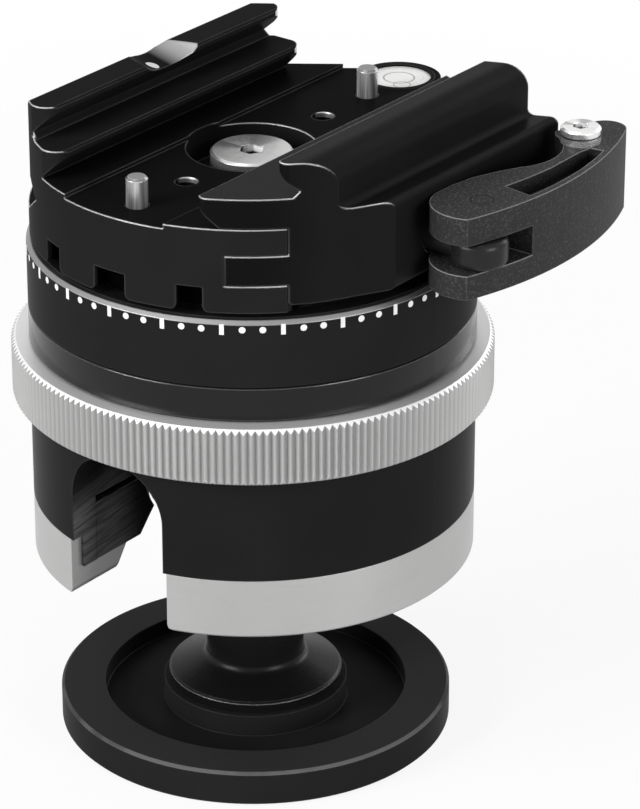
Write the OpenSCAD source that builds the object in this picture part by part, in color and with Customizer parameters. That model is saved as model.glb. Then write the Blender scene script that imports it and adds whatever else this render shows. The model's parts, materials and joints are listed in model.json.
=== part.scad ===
// Inverted ball head. A dished foot carries a stem and a ball, a round housing tilts on the ball,
// a knurled ring locks it through three pinions, and a panning clamp with a cam lever sits on top.
// Millimetres, +Z up, origin at the centre of the foot's underside. +X points across the clamp to
// its moving jaw, +Y runs along the jaws, and the housing's drop notch opens to -Y.

/* [Foot] */
// Diameter of the foot disc
foot_d = 54; // [50:0.5:60]
// Height of the foot's rim
foot_h = 5; // [4:0.1:5.4]
// Chamfer on the rim's edges
foot_edge = 0.4; // [0.2:0.1:0.8]
// Diameter of the dish in the foot
dish_d = 41.8; // [36:0.2:45]
// Thickness of the foot under the dish
dish_floor = 2.5; // [2:0.1:3.2]
// Diameter of the collar that carries the stem
collar_d = 25.4; // [24.5:0.1:28]
// Height of the collar's top above the underside
collar_h = 5.6; // [5:0.1:7]
// Tapped bore for a 3/8 inch tripod screw
thread_d = 7.94; // [6:0.01:8.5]
// Outside diameter of the thread bush
bush_d = 12; // [11:0.1:12.4]
// Length of the thread bush
bush_h = 9; // [8:0.1:9.5]
// Diameter of the screws under the foot
foot_screw_d = 2.5; // [2:0.1:2.6]
// Head diameter of the screws under the foot
foot_head_d = 4.6; // [3.6:0.1:4.8]
// Length of the screws under the foot
foot_screw_l = 6; // [4:0.5:6.5]

/* [Stem and ball] */
// Diameter of the stem's spigot in the collar
spigot_d = 22; // [21.5:0.1:23]
// Diameter of the stem's flange
flange_d = 24; // [23.2:0.1:25]
// Height of the stem's flange
flange_h = 1.7; // [1.2:0.1:3]
// Diameter of the stem
stem_d = 13.4; // [12.8:0.1:13.6]
// Slope of the flange's top, in degrees
flange_slope = 21; // [10:1:26]
// Fillet between flange and stem
stem_fillet = 1.2; // [0.6:0.1:2]
// Diameter of the ball
ball_d = 32.4; // [31:0.1:33]
// Diameter of the stem's pin in the ball
ball_pin_d = 8; // [6:0.1:10]
// Length of the stem's pin in the ball
ball_pin_l = 16; // [10:0.5:20]

/* [Housing] */
// Height of the housing's lower face above the foot's underside
housing_z = 27.2; // [26:0.1:32]
// Diameter of the housing
body_d = 60; // [58:0.2:63]
// Height of the drop ring
drop_h = 8.3; // [7.5:0.1:9]
// Wall of the drop ring round the housing's neck
drop_wall = 2; // [1.4:0.1:2.6]
// Thickness of the drop ring's floor
drop_floor = 3.6; // [3:0.1:4]
// Diameter of the drop ring's mouth at its lower face
mouth_d = 43; // [41:0.2:46]
// Diameter of the drop ring's mouth at its floor's top
mouth_top_d = 38.4; // [37:0.2:40]
// Height of the lower housing above the drop ring
housing_h = 14.9; // [14.5:0.1:17]
// Distance of the ball's centre below the lock ring
ball_drop = 8.1; // [8:0.1:8.6]
// Width of the drop notch
notch_w = 15.3; // [14.6:0.1:15.6]
// Step of the drop ring's notch behind the housing's notch
notch_step = 0.5; // [0.2:0.1:0.8]
// Height of the glossy band above the lock ring
band_h = 4.9; // [4.4:0.1:7]
// Diameter of the screws through the housing
house_screw_d = 3; // [2.5:0.1:3.4]
// Head diameter of the screws through the housing
house_head_d = 5.5; // [4.6:0.1:5.8]
// Head height of the screws through the housing
house_head_h = 1.7; // [1.2:0.1:2]
// Length of the screws through the housing
house_screw_l = 20; // [18:0.5:23]

/* [Ball seats] */
// Outside diameter of the lower seat
seat_d = 50.8; // [50.2:0.1:51.2]
// Mouth diameter of the lower seat
seat_mouth_d = 34; // [33.6:0.1:35]
// Height of the lower seat's lip below the ball's centre
seat_lip_drop = 8.2; // [7.6:0.1:8.6]
// Height of the lower seat's top below the ball's centre
seat_top_drop = 2.9; // [2:0.1:3.4]
// Play of the lower seat while unlocked
seat_play = 0.35; // [0.3:0.05:0.5]
// Lift of the lower seat when locked
seat_lift = 0.45; // [0.2:0.05:0.5]
// Height of the upper seat's rim above the ball's centre
upper_seat_rise = 8.8; // [8.5:0.1:10]
// Hole in the crown of the upper seat
upper_seat_hole = 8; // [4:0.5:12]

/* [Lock ring] */
// Height of the lock ring with its running gaps
ring_h = 8; // [7.8:0.1:10]
// Diameter of the lock ring over the knurl
ring_d = 64.8; // [63:0.2:67]
// Number of ridges in the knurl
knurl_count = 200; // [120:4:220]
// Depth of the knurl
knurl_depth = 0.5; // [0.3:0.05:0.7]
// Chamfer on the lock ring's upper edge
ring_edge = 0.6; // [0.3:0.1:0.8]
// Chamfer on the lock ring's lower edge
ring_low_edge = 0.4; // [0.3:0.1:0.8]
// Module of the lock gears
gear_module = 0.8; // [0.78:0.01:0.82]
// Teeth inside the lock ring
ring_teeth = 66; // [63:3:69]
// Teeth of each pinion
planet_teeth = 12; // [10:1:13]
// Face width of each pinion
planet_h = 5.4; // [4:0.1:5.6]
// Diameter of each pinion's screw spindle
planet_screw_d = 4; // [3:0.1:4.2]

/* [Pan] */
// Height of the scale ring
scale_h = 9.2; // [9:0.1:12]
// Floor of the scale ring
scale_floor = 2.7; // [2.5:0.1:3.4]
// Wall of the scale ring
scale_wall = 4; // [3:0.1:5]
// Chamfer on the scale ring's top edge
scale_edge = 0.5; // [0.3:0.1:0.8]
// Opening in the scale ring's floor
scale_hole_d = 18; // [12:0.5:24]
// Radial room between the pan hub and the scale ring's bore
hub_play = 2; // [1:0.1:4]
// Height of the pan hub's disc
hub_h = 3.2; // [2.6:0.1:3.4]
// Diameter of the pan hub's neck
hub_neck_d = 36; // [30:0.2:38]
// Depth of the pan hub in the clamp
hub_spigot = 2; // [1.5:0.1:2.6]
// Thickness of each pan washer
washer_t = 0.5; // [0.3:0.1:0.6]
// Height of the pan retainer
retainer_h = 1.7; // [1.4:0.1:2]
// Gap between scale ring and clamp
pan_gap = 0.9; // [0.6:0.1:1.4]

/* [Clamp base] */
// Diameter of the clamp base
clamp_d = 59; // [58:0.2:61]
// Height of the clamp base up to its channel
clamp_h = 10.85; // [10.6:0.05:12]
// Width of the shallow channel in the deck
channel_w = 16.2; // [14:0.2:18]
// Depth of the shallow channel in the deck
channel_t = 0.6; // [0.3:0.1:1]
// Diameter of the lobe that holds the level
lobe_d = 11.5; // [11.2:0.1:13]
// Distance of the lobe from the axis
lobe_y = 32.6; // [32.4:0.1:34]
// Height of the wide notches under the clamp
key_h = 3.4; // [2.5:0.1:3.6]
// Width of the middle notch under the clamp
key_wide = 5; // [4:0.1:6]
// Width of the outer notches under the clamp
key_narrow = 3.5; // [2.5:0.1:4.5]
// Angle between the notches under the clamp
key_step = 22.5; // [18:0.5:26]
// Depth of the notches under the clamp
key_depth = 2.4; // [1.6:0.1:2.5]
// Rounding at the mouths of the notches
mouth_round = 1; // [0.4:0.1:1.4]
// Diameter of the pocket round the clamp screw
pocket_d = 17.4; // [16:0.2:18.4]
// Depth of the pocket round the clamp screw
pocket_t = 4; // [3.8:0.1:4.6]
// Diameter of the clamp screw
clamp_screw_d = 6; // [5:0.1:8]
// Head diameter of the clamp screw
clamp_head_d = 11; // [10:0.1:13]
// Head height of the clamp screw
clamp_head_h = 3.7; // [3:0.1:3.8]
// Size across flats of the clamp screw's socket
clamp_hex = 3; // [2.5:0.5:5]
// Diameter of the tapped holes in the deck
deck_hole_d = 3; // [2.5:0.1:4]
// Depth of the tapped holes in the deck
deck_hole_t = 6; // [4:0.5:7]
// Place of the tapped holes and stop pins across the deck
deck_x = 0.7; // [0:0.1:1.2]
// Distance of the tapped holes from the axis
deck_hole_y = 14.5; // [13:0.1:16]

/* [Jaws] */
// Height of the jaws above the deck's lands
jaw_h = 8.75; // [8.4:0.05:10]
// Height of the plate ledges above the deck's lands
ledge_h = 4.1; // [3.8:0.1:4.4]
// Thickness of the jaws' upper lips at the nose
lip_t = 0.9; // [0.6:0.1:1.2]
// Depth of the upper dovetail grooves
groove_t = 2.85; // [2.4:0.05:2.9]
// Thickness of the ledges at the nose
ledge_t = 0.9; // [0.6:0.1:1.6]
// Outer face of the fixed jaw
fixed_x = 18.9; // [18.4:0.1:20]
// Nose of the fixed jaw's upper lip
fixed_lip_x = 14; // [13.5:0.1:14.4]
// Nose of the fixed jaw's ledge
fixed_ledge_x = 10.7; // [10:0.1:11.5]
// Rear end of the fixed jaw
fixed_rear_y = 25; // [22:0.5:27]
// Radius of the groove across the fixed jaw's top
index_r = 9; // [7:0.5:12]
// Place of the groove across the fixed jaw along the jaw
index_y = 1; // [-2:0.1:3]
// Depth of the groove across the fixed jaw at its outer face
index_low = 0.6; // [0.4:0.1:0.8]
// Depth of the groove across the fixed jaw at the lip's nose
index_deep = 1.7; // [1.2:0.1:2]
// Rounding of the fixed jaw's corners
fixed_round = 2.2; // [1.5:0.1:2.5]
// Rounding of the moving jaw's corners
moving_round = 1.2; // [0.6:0.1:2]
// Depth of the grip groove behind the fixed jaw
grip_t = 2.7; // [1.5:0.1:3]
// Height of the ledge behind the fixed jaw above the clamp's underside
grip_ledge_h = 3.8; // [3.6:0.1:4.2]
// Nose of the moving jaw's upper lip
moving_lip_x = 19.76; // [19:0.02:20.4]
// Nose of the moving jaw's ledge
moving_ledge_x = 11.77; // [11:0.01:12.6]
// Back of the moving jaw's upper bar
moving_back_x = 25.5; // [24.8:0.1:26]
// Outer face of the moving jaw
moving_out_x = 29.3; // [28.8:0.1:29.4]
// Rear end of the moving jaw at its lip's nose
moving_rear_y = 24.2; // [22:0.1:26]
// Slant of the moving jaw's rear end
moving_slant = 23.7; // [0:0.1:26]
// Height of the moving jaw's shelf above the clamp's underside
shelf_h = 13.2; // [12.6:0.1:13.8]
// Rounding of the moving jaw's top edge
jaw_round = 3.2; // [1:0.1:3.4]
// Plane where clamp base and moving jaw part
parting_x = 21.5; // [20.5:0.1:22]
// Depth of the moving jaw's tongue
tongue_l = 6.2; // [4:0.1:6.6]
// Height of the moving jaw's tongue
tongue_h = 4; // [3.8:0.1:4.2]
// Height of the tongue's middle above the clamp's underside
bolt_h = 5.8; // [5.6:0.1:6]
// Opening travel of the moving jaw
jaw_travel = 2.6; // [1.5:0.1:2.6]

/* [Draw bolt and lever] */
// Diameter of the draw bolt
bolt_d = 4; // [3:0.1:4.4]
// Thickness of the draw bolt's eye
eye_h = 3.8; // [3.4:0.1:4]
// Diameter of the draw bolt's eye
eye_d = 7.4; // [6:0.1:7.8]
// Rounding of the draw bolt's eye
eye_round = 0.9; // [0.4:0.1:1.2]
// Depth of the draw bolt in the clamp base
bolt_grip = 11.8; // [8:0.1:12]
// Diameter of the lever's pin
pin_d = 3; // [2.5:0.1:3.4]
// Radius of the lever's round cam head
cam_r = 5.85; // [5.6:0.05:6.2]
// Place of the cam's centre along the jaws
cam_y = 1; // [0:0.1:1.5]
// Thickness of the lever's upper ear
ear_top = 3.75; // [3:0.05:4.2]
// Thickness of the lever's lower ear
ear_low = 3.3; // [2.5:0.05:3.6]
// Reach of the lever's tip from the cam's centre
lever_l = 34.1; // [33:0.1:36]
// Radius of the lever's bowed outer edge
bow_r = 52; // [48:1:58]
// Place of the bow's middle along the lever, from the cam's centre
bow_y = 12; // [11:0.1:13]
// Reach of the bow's middle outside the cam's centre
bow_x = 5.5; // [5.3:0.05:5.8]
// Rounding of the lever's tip
tip_r = 2.7; // [2:0.1:3]
// Radius of the finger bay in the lever
bay_r = 7.9; // [7.4:0.1:8.2]
// Place of the finger bay along the lever, from the cam's centre
bay_y = 18.1; // [17.6:0.05:18.6]
// Width of the lever at the finger bay
waist_w = 6.1; // [5.8:0.1:6.4]
// Length of the slot for the draw bolt, from the cam's centre
slot_l = 5.6; // [5:0.1:6]
// Width of the rim outside the lever's crescent pocket
crescent_rim = 0.9; // [0.7:0.1:1.2]
// Width of the crescent pocket at its middle
crescent_w = 3.6; // [3:0.1:3.8]
// Start of the crescent pocket along the lever, from the cam's centre
crescent_y = 6.1; // [5.8:0.1:7]
// Length of the crescent pocket
crescent_l = 18.4; // [15:0.1:19]
// Depth of the crescent pocket in the lever
crescent_t = 2.6; // [0.8:0.1:3]
// Rounding of the nose behind the finger bay
nose_r = 0.9; // [0.6:0.1:1]
// Diameter of the stud on the lever
stud_d = 5.4; // [4.4:0.1:5.8]
// Height of the stud on the lever
stud_h = 2.2; // [1.5:0.1:3]

/* [Level and stop pins] */
// Diameter of the level's cup
cup_d = 9.8; // [9:0.1:10]
// Height of the level's cup
cup_h = 3.6; // [3:0.1:4]
// Diameter of the level's vial
vial_d = 8.7; // [8:0.1:9]
// Diameter of the stop pins
stop_d = 2.9; // [2.5:0.1:3.2]
// Height of the stop pins above the deck
stop_h = 4; // [3:0.1:4.2]
// Distance of the stop pins from the axis
stop_y = 24.4; // [23.4:0.1:24.6]
// Diameter of the stop pins' collars
stop_collar_d = 4.4; // [4:0.1:4.6]

/* [Fits] */
// Gap between pieces that are fixed together
fit = 0.02; // [0.01:0.01:0.04]
// Radial gap of turning and sliding pieces
run = 0.06; // [0.03:0.01:0.08]
// Gap between flat faces that move past each other
slide = 0.1; // [0.05:0.05:0.15]
// Flank slack of each gear tooth
backlash = 0.06; // [0.05:0.01:0.09]

/* [Hidden] */
$fn = 96;

// Colours
black = "#1c1c1e";
gloss = "#121214";
silver = "#c9cacc";
steel = "#a8aaad";
grey = "#3a3b3d";
bronze = "#8a7a55";
white = "#f2f2ee";

// Overlap of cutting shapes
over = 1;
// Length past every outline
far = 80;

// Foot and stem
foot_r = foot_d / 2;
spigot_r = spigot_d / 2;
bush_r = bush_d / 2;
stem_r = stem_d / 2;
ball_r = ball_d / 2;
flange_z = collar_h + flange_h;
flange_edge = 0.3;
fillet_foot_r = stem_r + stem_fillet * (1 - sin(flange_slope));
fillet_z = flange_z + (flange_d / 2 - flange_edge - fillet_foot_r) * tan(flange_slope)
    + stem_fillet * cos(flange_slope);
foot_screw_ring = (bush_r + spigot_r) / 2;
foot_screw_count = 3;
foot_head_h = (foot_head_d - foot_screw_d) / 2;
screw_run_out = 3.5;

// Heights of the housing's stack
body_r = body_d / 2;
house_z = housing_z + drop_h;
ring_z = house_z + housing_h;
band_z = ring_z + ring_h;
scale_z = band_z + band_h;
scale_top_z = scale_z + scale_h;
clamp_z = scale_top_z + pan_gap;
deck_z = clamp_z + clamp_h;
land_z = deck_z + channel_t;
ledge_z = land_z + ledge_h;
top_z = land_z + jaw_h;
ball_z = ring_z - ball_drop;
ball_flat_z = ball_z - sqrt(ball_r * ball_r - stem_r * stem_r);

// Ball seats
neck_z = housing_z + drop_floor;
neck_low_r = body_r - drop_wall;
seat_r = seat_d / 2;
seat_z = neck_z + slide;
seat_top_z = ball_z - seat_top_drop;
seat_roof_z = seat_top_z + seat_lift + 0.5;
seat_ball_r = ball_r + seat_play;
lip_r = sqrt(seat_ball_r * seat_ball_r - seat_lip_drop * seat_lip_drop);
cavity_r = ball_r + 1;
upper_roof_z = ball_z + ball_r + 0.8;
notch_start = 5;

// Lock gears
pressure_angle = 25;
ring_pitch_r = gear_module * ring_teeth / 2;
planet_pitch_r = gear_module * planet_teeth / 2;
planet_orbit = ring_pitch_r - planet_pitch_r;
ring_tip_r = ring_pitch_r - 0.9 * gear_module;
ring_root_r = ring_pitch_r + 1.25 * gear_module;
planet_tip_r = planet_pitch_r + 0.9 * gear_module;
planet_root_r = planet_pitch_r - 1.2 * gear_module;
neck_r = ring_tip_r - 2 * run;
planet_angles = [90, 210, 330];
planet_z = ring_z + 0.6;
planet_top_z = planet_z + planet_h;
planet_stub = 2.6;
pocket_r = planet_tip_r + 0.4;
spindle_z = seat_top_z - 6;
upper_bore_r = planet_orbit - pocket_r - 0.3;

// Screws through the housing, clear of the pinions and the notch
house_screw_angles = [35, 145, 235, 305];
house_screw_orbit = planet_orbit;
house_head_z = scale_z + scale_floor - house_head_h;

// Pan
scale_bore_r = body_r - scale_wall;
pan_floor_z = scale_z + scale_floor;
hub_z = pan_floor_z + washer_t + slide;
hub_top_z = hub_z + hub_h;
retainer_z = hub_top_z + washer_t + slide;
hub_r = scale_bore_r - hub_play;
hub_neck_r = hub_neck_d / 2;

// Clamp
clamp_r = clamp_d / 2;
lobe_r = lobe_d / 2;
flank_turn = 55.4;
jaw_turn = 28.8;
sink = 0.03;
bolt_z = clamp_z + bolt_h;
tongue_z = bolt_z - tongue_h / 2;
tongue_x = parting_x + slide - tongue_l;
jaw_low_z = clamp_z + 1;
shelf_z = clamp_z + shelf_h;
edge = 0.3;
grip_z = clamp_z + grip_ledge_h;
index_slope = atan2(index_deep - index_low, fixed_x - fixed_lip_x);
level_z = deck_z - cup_h + 0.1;
spring_y = 12.5;
spring_d = 3;
spring_wire = 0.4;
spring_hole_r = spring_d / 2 + 3 * run;
spring_base_l = 4;
spring_jaw_l = 4;

// Lever: the cam's centre lies ahead of the pin, so that turning the lever frees the jaw
cam_gap = 0.25;
cam_throw = jaw_travel / 2 / cos(30);
cam_x = moving_out_x + cam_gap + cam_r;
pivot_x = cam_x + cam_throw * cos(30);
pivot_y = cam_y - cam_throw * sin(30);
slot_h = eye_h + 3 * slide;
lever_top_z = bolt_z + slot_h / 2 + ear_top;
lever_low_z = bolt_z - slot_h / 2 - ear_low;
slot_end_y = cam_y + slot_l;
bow = [cam_x + bow_x - bow_r, cam_y + bow_y];
tip_y = cam_y + lever_l - tip_r;
tip = [bow[0] + sqrt((bow_r - tip_r) * (bow_r - tip_r) - (tip_y - bow[1]) * (tip_y - bow[1])), tip_y];
tip_turn = atan2(tip[1] - bow[1], tip[0] - bow[0]);
bay = [cam_x + bow_x - waist_w - bay_r, cam_y + bay_y];
bay_turn = 38;
bay_low = bay[1] - bay_r * sin(bay_turn);
nose_x = moving_out_x + cam_gap + 0.1;
nose_turn = acos((nose_x + 0.7 - bay[0]) / bay_r);
nose = [nose_x + nose_r, bay[1] + bay_r * sin(nose_turn) + 1.2];
heel_x = cam_x - cam_r + 0.05;
stud = [cam_x - 1.2, tip_y - tip_r - stud_d / 2 - 0.6];
stud_shank_d = 2.8;
stud_shank_l = 5;

// Stop pins
stop_collar_t = 0.8;
stop_plug_t = 1;
stop_plug_z = clamp_z + 0.1;
stop_collar_z = deck_z - 4.6;
stop_bore_r = stop_collar_d / 2 + run;

// Points of an arc from angle a to angle b
function arc(c, r, a, b, n = 8) = [for (i = [0:n]) let (t = a + (b - a) * i / n) c + r * [cos(t), sin(t)]];

// An arc that starts late and ends early, drawn out along its tangents so that it crosses what it rounds
function round_off(c, r, a, b, out = 2, trim = 16) =
    let (s = sign(b - a), a0 = a + s * trim, b0 = b - s * trim)
    concat([c + r * [cos(a0), sin(a0)] - s * out * [-sin(a0), cos(a0)]], arc(c, r, a0, b0),
        [c + r * [cos(b0), sin(b0)] + s * out * [-sin(b0), cos(b0)]]);

// Involute of an angle, in degrees
function involute(a) = tan(a) * 180 / PI - a;

// Half the angle of a tooth at radius r, on a gear with n teeth
function tooth_half(n, pitch_r, r, slack) =
    let (base_r = pitch_r * cos(pressure_angle), at = acos(min(1, base_r / r)))
    90 / n + involute(pressure_angle) - involute(at) + slack / pitch_r * 180 / PI;

// Outline of a gear, tooth by tooth from root to tip and back
function gear_outline(n, pitch_r, root_r, tip_r, slack, steps = 4) = [
    for (k = [0:n - 1]) each concat(
        [for (i = [0:steps]) let (r = root_r + (tip_r - root_r) * i / steps,
            a = 360 * k / n - tooth_half(n, pitch_r, r, slack)) r * [cos(a), sin(a)]],
        [for (i = [steps:-1:0]) let (r = root_r + (tip_r - root_r) * i / steps,
            a = 360 * k / n + tooth_half(n, pitch_r, r, slack)) r * [cos(a), sin(a)]])];

// Turn of a pinion that puts its teeth in mesh with the ring at an angle
function mesh_turn(a) = a - (a % (360 / ring_teeth)) * ring_teeth / planet_teeth;

module at_planets() {
    for (a = planet_angles) rotate(a) translate([planet_orbit, 0, 0]) children();
}

module at_house_screws() {
    for (a = house_screw_angles) rotate(a) translate([house_screw_orbit, 0, 0]) children();
}

// A shape drawn in X and Z, drawn out along Y from y0 to y1
module along_y(y0, y1) {
    translate([0, y1, 0]) rotate([90, 0, 0]) linear_extrude(y1 - y0) children();
}

// A shape drawn in Y and Z, drawn out along X from x0 to x1
module along_x(x0, x1) {
    translate([x0, 0, 0]) rotate([90, 0, 90]) linear_extrude(x1 - x0) children();
}

// Section of a notch up to height z1, with a rounded mouth at height z0
function notch_room(w, z0, z1, r) =
    let (a = 74, out = 1.6, tail = [-w / 2 - r * (1 - cos(a)) - out * sin(a), z0 + r * (1 - sin(a)) - out * cos(a)])
    concat([[w / 2, z1], [-w / 2, z1]], arc([-w / 2 - r, z0 + r], r, 0, -a, 6),
        [tail, [-tail[0], tail[1]]], arc([w / 2 + r, z0 + r], r, 180 + a, 180, 6));

// A cylinder along X
module rod_x(x0, x1, r) {
    translate([x0, 0, 0]) rotate([0, 90, 0]) cylinder(r = r, h = x1 - x0);
}

module foot_disc() {
    color(black) difference() {
        rotate_extrude() polygon([[0, 0], [foot_r - foot_edge, 0], [foot_r, foot_edge],
            [foot_r, foot_h - foot_edge], [foot_r - foot_edge, foot_h], [dish_d / 2, foot_h],
            [dish_d / 2, dish_floor], [collar_d / 2, dish_floor], [collar_d / 2, collar_h], [0, collar_h]]);
        translate([0, 0, dish_floor]) cylinder(r = spigot_r + fit, h = far);
        translate([0, 0, -over]) cylinder(r = bush_r + fit, h = far);
        at_foot_screws() foot_screw_shape(fit);
    }
}

module at_foot_screws() {
    for (i = [0:foot_screw_count - 1]) rotate(90 + 360 / foot_screw_count * i)
        translate([foot_screw_ring, 0, 0]) children();
}

// A countersunk screw from below, grown by a gap
module foot_screw_shape(gap) {
    cylinder(r1 = foot_head_d / 2 + gap, r2 = foot_screw_d / 2 + gap, h = foot_head_h);
    cylinder(r = foot_screw_d / 2 + gap, h = foot_screw_l + gap);
}

module thread_bush() {
    color(steel) difference() {
        cylinder(r = bush_r, h = bush_h);
        translate([0, 0, -over]) cylinder(d = thread_d, h = far);
    }
}

module foot_screws() {
    color(steel) at_foot_screws() foot_screw_shape(0);
}

module ball_stem() {
    color(black) difference() {
        rotate_extrude() polygon(concat(
            [[0, dish_floor + fit], [spigot_r, dish_floor + fit], [spigot_r, collar_h + fit],
             [flange_d / 2, collar_h + fit], [flange_d / 2, flange_z - flange_edge],
             [flange_d / 2 - flange_edge, flange_z]],
            arc([stem_r + stem_fillet, fillet_z], stem_fillet, 270 - flange_slope, 180, 10),
            [[stem_r, ball_flat_z - fit], [ball_pin_d / 2, ball_flat_z - fit],
             [ball_pin_d / 2, ball_flat_z + ball_pin_l], [0, ball_flat_z + ball_pin_l]]));
        cylinder(r = bush_r + fit, h = bush_h + fit);
        cylinder(d = thread_d + 2, h = bush_h + screw_run_out);
        at_foot_screws() foot_screw_shape(fit);
    }
}

module ball() {
    color(black) difference() {
        translate([0, 0, ball_z]) sphere(r = ball_r);
        translate([-far / 2, -far / 2, ball_flat_z - far]) cube(far);
        translate([0, 0, ball_flat_z - over])
            cylinder(r = ball_pin_d / 2 + run, h = ball_pin_l + over + slide);
    }
}

// The slot that takes the stem when the housing drops over
module drop_notch() {
    translate([-notch_w / 2, -far, housing_z - over])
        cube([notch_w, far - notch_start, ball_z - housing_z + over]);
    translate([0, -notch_start, ball_z]) rotate([90, 0, 0]) cylinder(d = notch_w, h = far);
}

module drop_ring() {
    color(silver) difference() {
        rotate_extrude() polygon([[mouth_d / 2, housing_z], [body_r - edge, housing_z],
            [body_r, housing_z + edge], [body_r, house_z], [neck_low_r + fit, house_z],
            [neck_low_r + fit, neck_z], [mouth_top_d / 2, neck_z]]);
        along_y(-far, -notch_start)
            polygon(notch_room(notch_w + 2 * notch_step, housing_z, house_z + over, mouth_round));
    }
}

module lower_housing() {
    color(black) difference() {
        rotate_extrude() polygon([[seat_r + run, neck_z + fit], [neck_low_r, neck_z + fit],
            [neck_low_r, house_z + fit], [body_r, house_z + fit], [body_r, ring_z], [cavity_r, ring_z],
            [cavity_r, seat_roof_z], [seat_r + run, seat_roof_z]]);
        drop_notch();
        at_planets() translate([0, 0, housing_z]) cylinder(r = planet_screw_d / 2 + run, h = far);
        at_house_screws() house_screw_shape(fit);
    }
}

module lower_ball_seat() {
    color(black) difference() {
        translate([0, 0, seat_z]) cylinder(r = seat_r, h = seat_top_z - seat_z);
        translate([0, 0, ball_z]) sphere(r = seat_ball_r);
        translate([0, 0, seat_z])
            cylinder(r1 = seat_mouth_d / 2, r2 = lip_r, h = ball_z - seat_lip_drop - seat_z);
        translate([0, 0, seat_z - over]) cylinder(r = lip_r, h = far);
        drop_notch();
        at_planets() translate([0, 0, seat_z - over]) cylinder(r = planet_screw_d / 2 + run, h = far);
    }
}

module upper_ball_seat() {
    color(bronze) difference() {
        translate([0, 0, ball_z + upper_seat_rise])
            cylinder(r = upper_bore_r - fit, h = upper_roof_z - fit - ball_z - upper_seat_rise);
        translate([0, 0, ball_z]) sphere(r = ball_r + slide);
        cylinder(d = upper_seat_hole, h = far * 2);
    }
}

module upper_housing() {
    color(gloss) difference() {
        rotate_extrude() polygon([[upper_bore_r, ring_z + fit], [neck_r, ring_z + fit], [neck_r, band_z],
            [body_r - edge, band_z], [body_r, band_z + edge], [body_r, scale_z - edge],
            [body_r - edge, scale_z], [0, scale_z], [0, upper_roof_z], [upper_bore_r, upper_roof_z]]);
        at_planets() {
            translate([0, 0, ring_z - over]) cylinder(r = pocket_r, h = planet_top_z + 0.5 - ring_z + over);
            translate([0, 0, ring_z - over])
                cylinder(r = planet_screw_d / 2 + run, h = planet_top_z + planet_stub + slide - ring_z + over);
        }
        at_house_screws() house_screw_shape(fit);
    }
}

// A screw down through scale ring, upper and lower housing, grown by a gap
module house_screw_shape(gap) {
    translate([0, 0, house_head_z]) cylinder(r = house_head_d / 2 + gap, h = house_head_h + gap);
    translate([0, 0, house_head_z - house_screw_l - gap])
        cylinder(r = house_screw_d / 2 + gap, h = house_screw_l + gap + fit);
}

module housing_screws() {
    color(steel) at_house_screws() difference() {
        house_screw_shape(0);
        translate([0, 0, house_head_z + house_head_h / 2]) cylinder(d = house_screw_d, h = far, $fn = 6);
    }
}

// A saw-tooth circle for the knurl
function knurl_outline() = [for (i = [0:2 * knurl_count - 1])
    let (r = ring_d / 2 - (i % 2) * knurl_depth, a = 180 * i / knurl_count) r * [cos(a), sin(a)]];

module lock_ring() {
    low_z = ring_z + slide;
    high_z = band_z - slide;
    ring_r = ring_d / 2;
    past = 0.2;
    color(silver) difference() {
        intersection() {
            translate([0, 0, low_z - over]) linear_extrude(high_z - low_z + 2 * over) polygon(knurl_outline());
            rotate_extrude() polygon([[0, low_z], [ring_r - ring_low_edge, low_z],
                [ring_r + past, low_z + ring_low_edge + past], [ring_r + past, high_z - ring_edge - past],
                [ring_r - ring_edge, high_z], [0, high_z]]);
        }
        translate([0, 0, low_z - over]) linear_extrude(planet_top_z + 0.3 - low_z + over)
            polygon(gear_outline(ring_teeth, ring_pitch_r, ring_tip_r, ring_root_r, backlash));
        translate([0, 0, low_z - over]) cylinder(r = neck_r + run, h = far);
    }
}

module planet_gear(a) {
    color(steel) rotate(a) translate([planet_orbit, 0, 0]) union() {
        translate([0, 0, planet_z]) rotate(mesh_turn(a) - a) linear_extrude(planet_h)
            polygon(gear_outline(planet_teeth, planet_pitch_r, planet_root_r, planet_tip_r, -backlash));
        translate([0, 0, spindle_z])
            cylinder(d = planet_screw_d, h = planet_top_z + planet_stub - spindle_z);
    }
}

module planet_gear_1() { planet_gear(planet_angles[0]); }

module planet_gear_2() { planet_gear(planet_angles[1]); }

module planet_gear_3() { planet_gear(planet_angles[2]); }

module scale_ring() {
    color(black) difference() {
        rotate_extrude() polygon([[scale_hole_d / 2, scale_z + fit], [body_r, scale_z + fit],
            [body_r, scale_top_z - scale_edge], [body_r - scale_edge, scale_top_z],
            [scale_bore_r, scale_top_z], [scale_bore_r, pan_floor_z], [scale_hole_d / 2, pan_floor_z]]);
        at_house_screws() house_screw_shape(fit);
    }
}

module washer(z, inner_r) {
    translate([0, 0, z]) difference() {
        cylinder(r = hub_r, h = washer_t);
        translate([0, 0, -over]) cylinder(r = inner_r, h = far);
    }
}

module pan_washers() {
    color(white) {
        washer(pan_floor_z + fit, scale_hole_d / 2);
        washer(retainer_z - washer_t - fit, hub_neck_r + 5 * run);
    }
}

module pan_retainer() {
    color(steel) difference() {
        translate([0, 0, retainer_z]) cylinder(r = scale_bore_r - fit, h = retainer_h);
        cylinder(r = hub_neck_r + run, h = far * 2);
    }
}

module pan_hub() {
    color(steel) difference() {
        union() {
            translate([0, 0, hub_z]) cylinder(r = hub_r, h = hub_h);
            translate([0, 0, hub_z]) cylinder(r = hub_neck_r, h = clamp_z + hub_spigot - fit - hub_z);
        }
        cylinder(r = clamp_screw_d / 2 + fit, h = far * 2);
    }
}

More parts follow.
